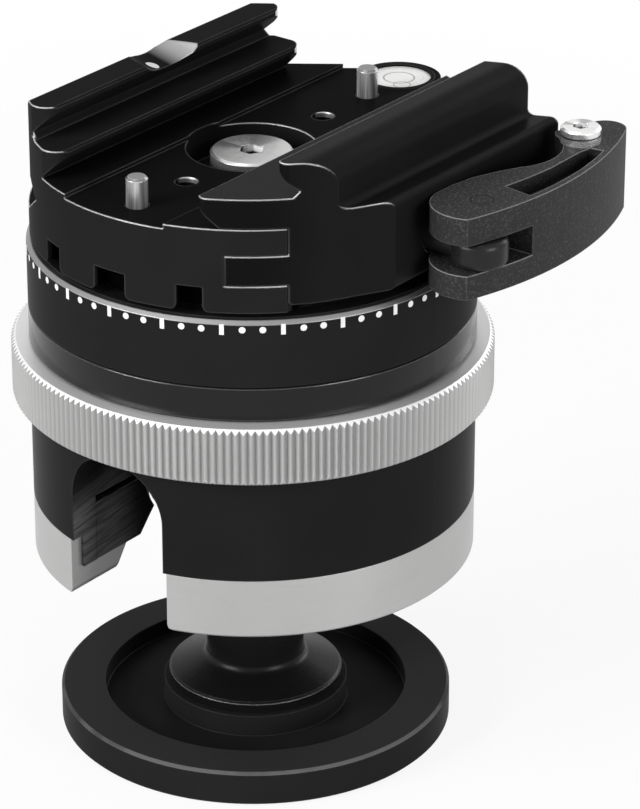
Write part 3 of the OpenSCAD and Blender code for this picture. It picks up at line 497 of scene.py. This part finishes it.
def clamp_black(name):
    coat = Finish(name, IOR=clamp_index)
    sockets = black_coat(coat, rough=0.4, edge_width=0.4, bar=0.12)
    z = coat.axes[2]
    bare_wall, dot, metal = groove_marks(coat)
    hole_highlight = hole_far_wall_highlight(coat)
    lip_reflection = lip_corner_reflection(coat)

    wall_radius, teeth_height = 29.0, 3.4
    behind_teeth = coat.spread(coat.distance(), wall_radius, wall_radius - 0.3)
    behind_teeth = behind_teeth * (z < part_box("clamp_base")[0].z / MM + teeth_height)
    channel_floor = coat.between(z, deck - 0.5, deck + 0.8) * coat.spread(coat.slope(), 0.97, 0.99)

    hole_highlight_metal, lip_reflection_metal, dot_white = grey(0.6), grey(0.5), grey(0.85)
    hollow_shade, channel_floor_shade, channel_shade_share = grey(0.001), grey(0.002), 0.6
    colour = coat.blend(bare_wall, sockets["Base_Color"], metal)
    # Painted highlight on the far wall of the two holes.
    colour = coat.blend(hole_highlight, colour, hole_highlight_metal)
    # Painted shade behind the teeth and on the floor of the channel.
    colour = coat.blend(behind_teeth, colour, hollow_shade)
    # Painted reflection on the lips' rear corners.
    colour = coat.blend(lip_reflection, colour, lip_reflection_metal)
    colour = coat.blend(channel_floor * channel_shade_share, colour, channel_floor_shade)
    sockets["Base_Color"] = coat.blend(dot, colour, dot_white)
    # Wear and painted highlights are partly metal.
    bare = coat.start.sum("MAXIMUM", bare_wall, hole_highlight + lip_reflection)
    sockets["Metallic"] = coat.start.sum("MAXIMUM", sockets["Metallic"], bare)
    return coat.use(**sockets)


clamp_coat = clamp_black("black_clamp")
print("clamp finish:", clamp_coat.name)

# %% [markdown]
# ## The milled notch
# The drop notch was milled through the housing and the ball's seat in one pass, and the cutter left fine steps
# along its walls. They could be cut as ridges, but they are too shallow to show on the outline, so they are a
# stretched noise used as height, only inside the notch's width and under the round outer wall. Milling left the
# coat paler there, and towards the ball and higher up it fades back to black as painted shade.


# %% Coat the housing and its notch
notch_half = 8.6
step_depth = 0.12


def inside_notch(coat):
    """A mask of the notch's walls, which leaves out the round outer wall."""
    x, y = coat.axes[:2]
    under_wall = coat.distance() < body_radius - 0.12
    return coat.between(x, -notch_half, notch_half) * (y < 0.0) * under_wall


def milled_black(name):
    coat = Finish(name, IOR=1.08)
    sockets = black_coat(coat, rough=0.36, level=0.01)
    x, y, z = coat.axes
    stretched = coat.vector(X=x * 0.2, Y=y * 0.15, Z=z * 3.2 - y * 0.4)
    cutter = coat.noise(1.0, place=stretched)
    notch = inside_notch(coat)
    # Painted shade: the milled colour fades back to black towards the ball, further in and higher up.
    outward = coat.spread(y, -14.0, -22.0) * coat.spread(z - y * 0.3, 52.0, 46.0)
    low_step, high_step = grey(0.05), grey(0.12)
    steps = coat.blend(coat.spread(cutter, 0.35, 0.7), low_step, high_step)
    sockets["Base_Color"] = coat.blend(notch * outward, sockets["Base_Color"], steps)
    sockets["Normal"] = coat.bump(notch * cutter, step_depth, sockets["Normal"])
    return coat.use(**sockets)


housing_coat = milled_black("black_housing")
print("housing finish:", housing_coat.name)

# %% [markdown]
# ## Polished black band
# Between the lock ring and the scale there is a band of the same black with a polish, so it mirrors
# the lamps as narrow streaks. The streaks could be painted on, but they would stay put as the head
# turns. A low roughness and a thin clear coat let them come from the lamps.


# %% Mix the polished finish
def polished_black(name):
    coat = Finish(name, IOR=1.3, Coat_Roughness=0.05)
    soft = coat.rounded(0.2)
    swirl = coat.noise(6.0, detail=2.0)
    edge = coat.edges(soft)
    band_black, edge_metal = grey(0.005), grey(0.22)
    colour = coat.blend(edge, band_black, edge_metal)
    return coat.use(Base_Color=colour, Metallic=edge * 0.8, Roughness=0.14 + swirl * 0.08,
                    Coat_Weight=swirl * 0.1, Normal=soft)


gloss_black = polished_black("black_polished")
print("polished finish:", gloss_black.name)

# %% [markdown]
# ## Clear anodised aluminium and plain steel
# The drop ring is turned from aluminium, lightly blasted and anodised clear. A full metal would be a
# mirror of the white room, but the blasted skin is partly dull, so only a share of it is metal.
# Screws, spindles and springs are plain turned steel. All of them get the same lathe lines.


# %% Mix the turned metals
blasted_metallic = 0.6


def turned_sockets(metal, level, rough, pitch=0.05, depth=0.0025, middle=(0.0, 0.0)):
    """The sockets of a turned metal, so that a piece can add its own marks before they are used."""
    turning = lathe_lines(metal, pitch, middle)
    fine = metal.noise(0.14, detail=2.0)
    cloud = metal.noise(7.0, detail=2.0)
    soft = metal.rounded(0.12)
    shade = metal.spread(turning * 0.4 + fine * 0.4 + cloud * 0.2, 0.3, 0.7)
    darker = grey(level * 0.93, warm=0.005)
    paler = grey(level * 1.05, warm=0.005)
    return {
        "Base_Color": metal.blend(shade, darker, paler),
        "Roughness": rough + (fine - 0.5) * 0.12 + (turning - 0.5) * 0.1,
        "Normal": metal.bump(turning * 0.5 + fine, depth, soft),
    }


def turned_metal(name, level, rough, metallic=1.0, **sizes):
    metal = Finish(name, Metallic=metallic)
    return metal.use(**turned_sockets(metal, level, rough, **sizes))


silver_satin = turned_metal("silver_satin", level=0.38, rough=0.42, metallic=blasted_metallic)
plain_steel = turned_metal("steel_plain", level=0.42, rough=0.34, pitch=0.1)
spring_steel = turned_metal("steel_spring", level=0.36, rough=0.3, pitch=0.3)
print("turned metals:", silver_satin.name, plain_steel.name, spring_steel.name)

# %% [markdown]
# ## The knurled lock ring
# The lock ring has the same clear coat. The valleys of its knurl are painted darker as painted shade, and its top
# face gets a painted highlight. The knurl itself is in the solid, so the valleys could be left to shadow alone,
# but the painted shade makes each ridge stand out as it does on the real ring.


# %% Coat the lock ring
def knurled_silver(name, level, rough, tip_radius):
    metal = Finish(name, Metallic=blasted_metallic)
    sockets = turned_sockets(metal, level, rough)
    slope = metal.slope()
    # Painted shade in the knurl's valleys.
    valley_shade = metal.spread(metal.distance(), tip_radius - 0.08, tip_radius - 0.42)
    upright = slope * slope < 0.04
    # Painted highlight on the faces that look up.
    top_highlight = metal.spread(slope, 0.4, 0.6)
    valley_shade_share, top_highlight_level = 0.35, 0.78
    valley_shade_grey = grey(level * 0.35)
    colour = metal.blend(valley_shade * upright * valley_shade_share, sockets["Base_Color"], valley_shade_grey)
    sockets["Base_Color"] = metal.blend(top_highlight, colour, grey(top_highlight_level))
    return metal.use(**sockets)


silver_knurled = knurled_silver("silver_knurled", level=0.42, rough=0.42,
                                tip_radius=radius_of("lock_ring"))
print("lock ring:", silver_knurled.name)

# %% [markdown]
# ## Heads of the clamp screw and the lever's stud
# Both heads are turned steel with a hexagon socket. A turned face mirrors in sectors, light and dark, which the
# shader's anisotropy gives only in part, so a slow noise round the axis adds painted reflections in dark sectors.
# Seen from above, the socket's far wall gets a painted highlight and the rest of it is painted dark as painted
# shade. The socket is not metal here, because a metal hole would mirror its own dark walls. The stud has a dark
# line round its waist, where its head meets its collar.


# %% Coat the two heads
head_metallic = 0.8


def middle_of(node):
    """The middle of a solid seen from above, in millimetres."""
    low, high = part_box(node)
    return ((low.x + high.x) / 2 / MM, (low.y + high.y) / 2 / MM)


def socket_marks(metal, middle, top, socket_radius):
    """A mask of a head's socket, and the socket's colour: a painted highlight on its far wall over painted shade.
    """
    y, z = metal.axes[1:]
    rim_height, shade_line_share = 0.12, 0.55
    inside = metal.spread(metal.distance(*middle), socket_radius + 0.15, socket_radius + 0.05)
    # Painted highlight on the upper far wall of the socket, painted shade below it.
    shade_line = top - shade_line_share * socket_radius
    far_side = metal.spread(y - middle[1], 0.0, 0.4)
    far_wall_highlight = far_side * metal.spread(z, shade_line - 0.15, shade_line + 0.15)
    socket_shade, far_wall_white = grey(0.02), grey(0.95)
    return inside * (z < top - rim_height), metal.blend(far_wall_highlight, socket_shade, far_wall_white)


def head_steel(name, node, socket_radius, level, waist=None):
    metal = Finish(name, Anisotropic=0.5)
    middle = middle_of(node)
    top = top_of(node)
    sockets = turned_sockets(metal, level, rough=0.24, pitch=0.08, middle=middle)
    around = metal.vector(X=angle_round(metal, middle) * 0.8)
    # Painted reflection: dark sectors round the head's axis.
    reflection_sector = metal.spread(metal.noise(1.0, detail=0.0, place=around), 0.45, 0.7)
    dark_sector_share, dark_reflection_metal = 0.7, grey(level * 0.3)
    face = metal.blend(reflection_sector * dark_sector_share, sockets["Base_Color"], dark_reflection_metal)
    socket, socket_colour = socket_marks(metal, middle, top, socket_radius)
    colour = metal.blend(socket, face, socket_colour)
    if waist is not None:
        seam_half, seam_grey = 0.12, grey(0.12)
        seam = metal.between(metal.axes[2], top - waist - seam_half, top - waist + seam_half)
        colour = metal.blend(seam, colour, seam_grey)
    sockets["Base_Color"] = colour
    sockets["Metallic"] = (1.0 - socket) * head_metallic
    return metal.use(**sockets)


screw_steel = head_steel("steel_screw", "clamp_screw", socket_radius=1.73, level=0.62)
stud_steel = head_steel("steel_stud", "lever_stud", socket_radius=1.2, level=0.85, waist=1.1)
print("heads:", screw_steel.name, stud_steel.name)

# %% [markdown]
# ## Stop pins
# The stop pins are ground lengthwise, so streaks run up their sides, and their tops are plain. The streaks are
# partly grinding marks and partly painted reflections of the lamps: an anisotropic metal could stretch the lamps
# into one streak, but real grinding leaves many, so noise round the pin draws them. On the top it would make a
# pinwheel, so it is kept to the wall. The pins' edges get a painted glint, and the rear pin is painted brighter
# than the front one as painted light.


# %% Coat the stop pins
def pin_steel(name, pin, level):
    metal = Finish(name, Metallic=0.6)
    around = metal.vector(X=angle_round(metal, middle_of(pin)) * 1.6, Z=metal.axes[2] * 0.04)
    wall = metal.spread(metal.slope(), 0.6, 0.3)
    # Partly grinding marks, partly painted reflection streaks on the wall.
    streak_reflection = (metal.noise(1.0, detail=2.0, place=around) - 0.5) * wall + 0.5
    soft = metal.rounded(0.2)
    top_grey, edge_glint_grey, dark_reflection_streak = grey(0.2), grey(0.75), grey(level * 0.2)
    body = metal.blend(metal.spread(streak_reflection, 0.35, 0.65), dark_reflection_streak, grey(level))
    ground = metal.blend(wall, top_grey, body)
    # Painted glint on the pins' edges.
    colour = metal.blend(metal.edges(soft), ground, edge_glint_grey)
    return metal.use(Base_Color=colour, Roughness=0.2 + streak_reflection * 0.1,
                     Normal=metal.bump(streak_reflection, 0.002, soft))


# The rear pin is painted brighter than the front one as painted light.
front_pin_shaded_steel = pin_steel("steel_pin_front", "stop_pin_front", level=0.55)
rear_pin_lit_steel = pin_steel("steel_pin_rear", "stop_pin_rear", level=0.95)
print("stop pins:", front_pin_shaded_steel.name, rear_pin_lit_steel.name)

# %% [markdown]
# ## Draw bolt and lever pin
# Both were blackened in an oil bath, so they are a dark steel with a soft shine that has worn
# through in spots along the edges. A metal with a dark colour would have no highlight left, so the
# black is a plain coat and only the worn spots are metal.


# %% Mix the blackened steel
def blackened_steel(name):
    metal = Finish(name, IOR=1.28)
    cloud = metal.noise(1.2)
    fine = metal.noise(0.2, detail=2.0)
    soft = metal.rounded(0.25)
    worn = metal.edges(soft) * metal.spread(cloud, 0.4, 0.6)
    black = metal.blend(cloud, grey(0.006), grey(0.014))
    worn_share, worn_metal = 0.6, grey(0.2)
    colour = metal.blend(worn * worn_share, black, worn_metal)
    return metal.use(Base_Color=colour, Metallic=worn * 0.5, Roughness=0.26 + fine * 0.12,
                     Normal=metal.bump(fine, 0.003, soft))


dark_steel = blackened_steel("steel_dark")
print("blackened steel:", dark_steel.name)

# %% [markdown]
# ## The tripod thread
# The bush in the foot is tapped for the tripod's screw. A cut thread in the mesh would be heavy, and the solid
# keeps a plain bore so that a screw fits it. A spiral ramp of height and angle, used as bump, draws the thread's
# flanks in the bore, and its roots are painted darker than its crests as painted shade.


# %% Tap the bush
thread_pitch = 1.5875
thread_bore = 3.97
thread_depth = 0.6


def tapped_steel(name, pitch, bore):
    metal = Finish(name, Metallic=1.0)
    turns = angle_round(metal) / (2 * math.pi)
    ramp = metal.start.sum("PINGPONG", metal.axes[2] / pitch - turns, 0.5) * 2
    flank = metal.spread(metal.distance(), bore + 0.15, bore + 0.05) * ramp
    grit = metal.noise(0.3, detail=2.0)
    # Painted shade in the thread's roots.
    root_shade_grey, crest_lit_grey = grey(0.18), grey(0.45)
    colour = metal.blend(flank, root_shade_grey, crest_lit_grey)
    return metal.use(Base_Color=colour, Roughness=0.3 + grit * 0.1,
                     Normal=metal.bump(flank + grit * 0.02, thread_depth))


thread_steel = tapped_steel("steel_tapped", thread_pitch, thread_bore)
print("thread:", thread_steel.name)

# %% [markdown]
# ## Textured grey coat of the lever
# The lever is cast and coated with a fine-textured dark grey paint, rubbed a little paler along its edges, with
# the faint ring of the mould's ejector on top. The pale edges are partly wear and partly a painted highlight,
# strongest on edges that look up. The texture could be displaced geometry, but its grains are a third of a
# millimetre across, so noise serves as height and as pale flecks, partly grain and partly painted glints,
# strongest on faces that look up.


# %% Mix the lever's coat
grain_size = 0.34
ejector_x, ejector_y, ejector_radius = 35.5, 2.1, 1.5


def textured_coat(name):
    coat = Finish(name, IOR=1.2)
    soft = coat.rounded(0.3)
    peel = coat.noise(grain_size, detail=2.0)
    cloud = coat.noise(4.0)
    up = coat.facing(soft)[2]
    # Partly wear, partly a painted highlight on edges that look up.
    worn = coat.edges(soft) * coat.spread(up, 0.1, 0.5, to_low=0.2)
    # Pale grain, plus painted glints that are stronger on faces that look up.
    speck_and_glint = coat.spread(peel, 0.5, 0.7) * coat.spread(up, 0.5, 0.9, to_low=0.25, to_high=0.7)
    on_top = coat.axes[2] > top_of("lever") - 0.5
    from_ejector = coat.distance(ejector_x, ejector_y)
    ring_inside, ring_outside = ejector_radius - 0.15, ejector_radius + 0.15
    mould_ring = coat.between(from_ejector, ring_inside, ring_outside, soft=0.1) * on_top
    paint = coat.blend(cloud, grey(0.016), grey(0.023))
    fleck_glint_grey, ring_grey, rubbed_highlight_grey = grey(0.12), grey(0.006), grey(0.34)
    flecked = coat.blend(speck_and_glint, paint, fleck_glint_grey)
    ringed = coat.blend(mould_ring * 0.8, flecked, ring_grey)
    colour = coat.blend(worn * 0.9, ringed, rubbed_highlight_grey)
    height = peel - mould_ring * 2
    return coat.use(Base_Color=colour, Roughness=0.55 + (peel - 0.5) * 0.25,
                    Normal=coat.bump(height, 0.04, soft))


lever_coat = textured_coat("lever_coat")
print("lever coat:", lever_coat.name)

# %% [markdown]
# ## Bearing plastic and mark paint
# The slip washers and the upper ball seat are pale bearing plastic, and the scale's marks are filled
# with white paint. One flat colour would do from far away, but close up both are a little cloudy,
# so a soft noise moves their colour and their gloss.


# %% Mix the plastic and the paint
def bearing_plastic(name):
    plastic = Finish(name, Metallic=0.0)
    cloud = plastic.noise(4.0)
    fine = plastic.noise(0.3, detail=2.0)
    dull_cream, pale_cream = (0.72, 0.71, 0.66, 1), (0.8, 0.79, 0.75, 1)
    colour = plastic.blend(cloud, dull_cream, pale_cream)
    return plastic.use(Base_Color=colour, Roughness=0.4 + fine * 0.15,
                       Normal=plastic.bump(fine, 0.003))


def mark_paint(name):
    paint = Finish(name, Metallic=0.0, Specular_IOR_Level=0.3)
    cloud = paint.noise(0.5, detail=2.0)
    colour = paint.blend(cloud, grey(0.6), grey(0.76))
    return paint.use(Base_Color=colour, Roughness=0.5 + cloud * 0.2)


washer_plastic = bearing_plastic("bearing_plastic")
white_paint = mark_paint("mark_white")
print("pale finishes:", washer_plastic.name, white_paint.name)

# %% [markdown]
# ## The level's face
# The bubble level is a white disc under a clear window, with a dark ring that the bubble sits in
# when the head is level, and the thin outline of the bubble near it. The window could be a glass
# piece, but it is flush and flat, so a clear coat over the white face shows the same shine.


# %% Draw the level's face
def level_face(name, middle_x, middle_y):
    face = Finish(name, Metallic=0.0, Specular_IOR_Level=0.5, Coat_Roughness=0.03)
    radius = face.distance(middle_x, middle_y)
    aim_ring = face.between(radius, 1.98, 2.22, soft=0.04)
    outer_ring = face.between(radius, 3.2, 3.4)
    bubble_shift = 1.9
    from_bubble = face.distance(middle_x + bubble_shift, middle_y - bubble_shift)
    bubble_film = face.between(from_bubble, 1.05, 1.25)
    cloud = face.noise(2.0, detail=2.0)
    dull_white, clean_white = (0.93, 0.94, 0.92, 1), (0.96, 0.97, 0.95, 1)
    paper = face.blend(cloud, dull_white, clean_white)
    ink = grey(0.05)
    drawn = aim_ring * 0.75 + outer_ring * 0.12 + bubble_film * 0.6
    return face.use(Base_Color=face.blend(drawn, paper, ink),
                    Roughness=0.25 + cloud * 0.1, Coat_Weight=0.8 + cloud * 0.1)


level_white = level_face("level_face", *middle_of("level_vial"))
print("level's face:", level_white.name)

# %% [markdown]
# ## Give every solid its finish
# The record says which slot each solid belongs to. The finishes could be assigned one solid at a
# time, but most slots have one finish, so a table of slots does most of the work, and a second table
# names the few solids that differ in the photograph.

# %% Assign the finishes
slot_finish = {
    "black_anodised": satin_black,
    "black_gloss": gloss_black,
    "silver_anodised": silver_satin,
    "steel": plain_steel,
    "bright_steel": screw_steel,
    "spring_steel": spring_steel,
    "lever_grey": lever_coat,
    "bearing_plastic": washer_plastic,
    "vial_white": level_white,
}
own_finish = {
    "foot_disc": foot_black,
    "ball_stem": stem_black,
    "lower_ball_seat": housing_coat,
    "ball": deep_black,
    "level_cup": deep_black,
    "lock_ring": silver_knurled,
    "lower_housing": housing_coat,
    "scale_ring": scale_black,
    "clamp_base": clamp_coat,
    "moving_jaw": jaw_black,
    "draw_bolt": dark_steel,
    "lever_pin": dark_steel,
    "lever_stud": stud_steel,
    "stop_pin_front": front_pin_shaded_steel,
    "stop_pin_rear": rear_pin_lit_steel,
    "thread_bush": thread_steel,
}
slot_of = {entry["node"]: entry["material_slot"] for entry in frame["record"]["subparts"]}


def dress(piece, finish):
    piece.data.materials.clear()
    piece.data.materials.append(finish)


for name, solid in nodes.items():
    dress(solid, own_finish.get(name, slot_finish[slot_of[name]]))
print("dressed", len(nodes), "solids")

# %% [markdown]
# ## Marks on the scale ring
# The scale has a square-ended tick every fifteen degrees and two round dots between. They are
# shallow engraved marks filled with paint. They could be a mask in the ring's finish, but a mask's
# border is soft, so thin curved plates just proud of the ring's wall stand for them.


# %% Make pieces from meshes
def put_in_scene(name, data):
    """Makes an object of a mesh, a lamp or a camera."""
    thing = bpy.data.objects.new(name, data)
    bpy.context.scene.collection.objects.link(thing)
    return thing


def new_piece(name, shape, finish):
    """Turns a bmesh into an object with a finish."""
    mesh = bpy.data.meshes.new(name)
    shape.to_mesh(mesh)
    shape.free()
    piece = put_in_scene(name, mesh)
    dress(piece, finish)
    return piece


def circle_points(radius, count):
    turns = [2 * math.pi * i / count for i in range(count)]
    return [(radius * math.cos(turn), radius * math.sin(turn)) for turn in turns]


print("pieces can be made from meshes")

# %% Draw the scale
mark_count = 72
marks_per_tick = 3
first_mark = math.radians(0.75)
mark_height = scale_top - 1.12
mark_front, mark_back = 0.02, -0.1
tick_half_width, tick_half_height = 0.3, 0.72
tick = [(side * tick_half_width, end * tick_half_height)
        for side, end in ((1, -1), (1, 1), (-1, 1), (-1, -1))]
dot = circle_points(radius=0.44, count=20)


def plate_on_wall(mesh, angle, outline):
    """Adds one mark: outline points in millimetres, as offsets along the wall and upwards."""
    loops = []
    for lift in (mark_front, mark_back):
        radius = body_radius + lift
        loop = []
        for along, upward in outline:
            turn = angle + along / body_radius
            spot = Vector((radius * math.cos(turn), radius * math.sin(turn), mark_height + upward))
            loop.append(mesh.verts.new(spot * MM))
        loops.append(loop)
    front, back = loops
    mesh.faces.new(front)
    mesh.faces.new(reversed(back))
    for i in range(len(outline)):
        j = (i + 1) % len(outline)
        mesh.faces.new((front[j], front[i], back[i], back[j]))


marks = bmesh.new()
for step in range(mark_count):
    outline = tick if step % marks_per_tick == 0 else dot
    plate_on_wall(marks, 2 * math.pi * step / mark_count + first_mark, outline)
scale_marks = new_piece("scale_marks", marks, white_paint)
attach(scale_marks, "housing")
print("scale marks:", mark_count)

# %% [markdown]
# ## Coil springs under the stop pins
# In the frame each of these springs is a plain sleeve. It could stay one, since it hides in a closed bore, but a
# sleeve cannot shorten. Here it is wound from round wire: a small ring is swept along a helix and closed at both
# ends, and the share of its length that it would keep when its pin is pressed is printed.


# %% Wind the wire
wire_radius = 0.19 * MM
wire_sides = 8
coil_turns = 4
coil_steps = 24 * coil_turns


def coil_between(low, high):
    """A mesh of round wire, wound upright to fill a box."""
    centre = (low + high) / 2
    coil_radius = (high.x - low.x) / 2 - wire_radius
    rise = high.z - low.z - 2 * wire_radius
    coil = bmesh.new()
    rings = []
    for step in range(coil_steps + 1):
        share = step / coil_steps
        turn = 2 * math.pi * coil_turns * share
        height = low.z + wire_radius + rise * share
        ring = []
        for outward, upward in circle_points(wire_radius, wire_sides):
            reach = coil_radius + outward
            spot = (centre.x + reach * math.cos(turn), centre.y + reach * math.sin(turn),
                    height + upward)
            ring.append(coil.verts.new(spot))
        rings.append(ring)
    for first, second in zip(rings, rings[1:]):
        for i in range(wire_sides):
            j = (i + 1) % wire_sides
            coil.faces.new((first[i], first[j], second[j], second[i])).smooth = True
    coil.faces.new(rings[0])
    coil.faces.new(reversed(rings[-1]))
    bmesh.ops.recalc_face_normals(coil, faces=coil.faces[:])
    return coil


print("wire of", coil_turns, "turns")

# %% Set the springs under their pins
spare_travel = 0.05 * MM


def wind_spring(name, node, joint):
    low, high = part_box(node)
    spring = new_piece(name, coil_between(low, high), spring_steel)
    travel = next(entry["range_m"][1] for entry in frame["joints"] if entry["name"] == joint)
    pressed_share = 1 - (travel + spare_travel) / (high.z - low.z)
    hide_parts(node)
    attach(spring, "clamp")
    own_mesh(spring)
    print(name, "keeps", round(pressed_share, 2), "of its length when pressed")


wind_spring("front_pin_coil", "front_pin_spring", "front_pin_press")
wind_spring("rear_pin_coil", "rear_pin_spring", "rear_pin_press")

# %% [markdown]
# ## White floor
# The photograph is a cut-out on white. More light could burn the floor out, but the object would
# burn out with it. So the floor shows white to the camera and to reflections, while the light that
# it sends to the object stays at a plain level. Near the object, part of the floor's own shading is
# kept, so the object stands on its shadow. The floor lies a hair under the foot and is clear from
# below, so that the foot's underside with its thread can be looked at too.


# %% Lay the floor
def seen_directly(wire):
    """1 for rays of the camera, of mirrors and of glass, and 0 for light that falls on things."""
    kinds = ("Is Camera Ray", "Is Glossy Ray", "Is Transmission Ray")
    camera_ray, glossy_ray, glass_ray = [wire.node("ShaderNodeLightPath", {}, {}, kind)
                                         for kind in kinds]
    return wire.sum("MINIMUM", camera_ray + glossy_ray + glass_ray, 1.0)


shadow_reach, white_reach = 130.0, 320.0
near_whiteness = 0.88


def floor_finish(name):
    finish = Finish(name, Specular_IOR_Level=0.2)
    wire = finish.start
    grain = finish.noise(40.0, detail=2.0)
    finish.use(Base_Color=finish.blend(grain, grey(0.86), grey(0.9)), Roughness=0.8 + grain * 0.1)
    white = wire.node("ShaderNodeEmission", {}, {"Color": (1, 1, 1, 1), "Strength": 1.0})
    whiteness = finish.spread(finish.distance(), shadow_reach, white_reach,
                              to_low=near_whiteness)
    shown = {0: seen_directly(wire) * whiteness, 1: wire, 2: white}
    under = wire.node("ShaderNodeNewGeometry", {}, {}, "Backfacing")
    clear = wire.node("ShaderNodeBsdfTransparent", {}, {})
    one_sided = {0: under, 1: wire.node("ShaderNodeMixShader", {}, shown), 2: clear}
    surface = finish.tree.nodes["Material Output"].inputs["Surface"]
    wire.feed(surface, wire.node("ShaderNodeMixShader", {}, one_sided))
    return finish.material


floor_half = 3.0
floor_height = -0.1 * MM
floor_corners = [(x * floor_half, y * floor_half, floor_height)
                 for x, y in ((-1, -1), (1, -1), (1, 1), (-1, 1))]
floor_mesh = bpy.data.meshes.new("floor")
floor_mesh.from_pydata(floor_corners, [], [(0, 1, 2, 3)])
floor = put_in_scene("floor", floor_mesh)
dress(floor, floor_finish("floor_white"))
print("floor laid, half side in metres:", floor_half)

# %% [markdown]
# ## White room
# The room is white all round, as in a light tent. A world of full strength would flood the object
# from every side, so it is full only where it is seen, and a weak fill where it lights.

# %% Paint the room
fill_level = 0.2
world = bpy.data.worlds.new("white_room")
bpy.context.scene.world = world
world.use_nodes = True
background = world.node_tree.nodes["Background"]
room = Wire(world.node_tree, background.outputs[0])
room.feed(background.inputs["Strength"], seen_directly(room) * (1 - fill_level) + fill_level)
background.inputs["Color"].default_value = (1, 1, 1, 1)
print("white room with a fill of", fill_level)

# %% [markdown]
# ## Lamps
# Two large soft boxes do the work: one in front on the left, which lights the cut edges and the
# walls that face the camera, and one on the right that opens the lever's side. A weak one overhead
# lifts the top faces, and another behind the object keeps its back from going all black. Small lamps
# could be brighter, but they would draw hard shadows that a light tent does not have.


# %% Place the lamps
def point_at(thing, target):
    """Turns a lamp or a camera so that it looks at a point."""
    thing.rotation_euler = (target - thing.location).to_track_quat("-Z", "Y").to_euler()


def soft_box(name, place, size, power):
    lamp = bpy.data.lights.new(name, "AREA")
    lamp.shape = "RECTANGLE"
    lamp.size, lamp.size_y = size
    lamp.energy = power
    holder = put_in_scene(name, lamp)
    holder.location = place
    point_at(holder, object_middle)
    print(name, power, "W")


object_middle = Vector((0.0, 0.0, 0.06))
soft_box("key_box", (-0.3, -0.75, 0.36), size=(0.45, 0.45), power=8.0)
soft_box("side_box", (0.8, -0.1, 0.22), size=(0.35, 0.5), power=5.0)
soft_box("top_box", (-0.1, -0.2, 0.85), size=(0.4, 0.4), power=1.2)
soft_box("rear_box", (0.15, 0.85, 0.4), size=(0.5, 0.4), power=2.2)

# %% [markdown]
# ## Camera
# The camera could be set by eye, but then every edge would be a little off. It was found by fitting
# the round edges of the housing and the foot in the photograph. It stands well back with a long
# lens, so the verticals hardly converge.

# %% Set the camera
photo_height_pixels = 809.0
focal_length_pixels = 4200.0
camera_data = bpy.data.cameras.new("photo_camera")
camera_data.sensor_width = 36.0
camera_data.lens = focal_length_pixels * camera_data.sensor_width / photo_height_pixels
camera_data.clip_start = 0.01
camera_data.clip_end = 20.0
camera = put_in_scene("photo_camera", camera_data)
camera.location = Vector((319.0, -402.4, 290.05)) * MM
aim_point = Vector((7.13, 5.45, 46.79)) * MM
point_at(camera, aim_point)
bpy.context.scene.camera = camera
bpy.context.scene.view_settings.view_transform = "Standard"
print("camera lens", round(camera_data.lens, 1))
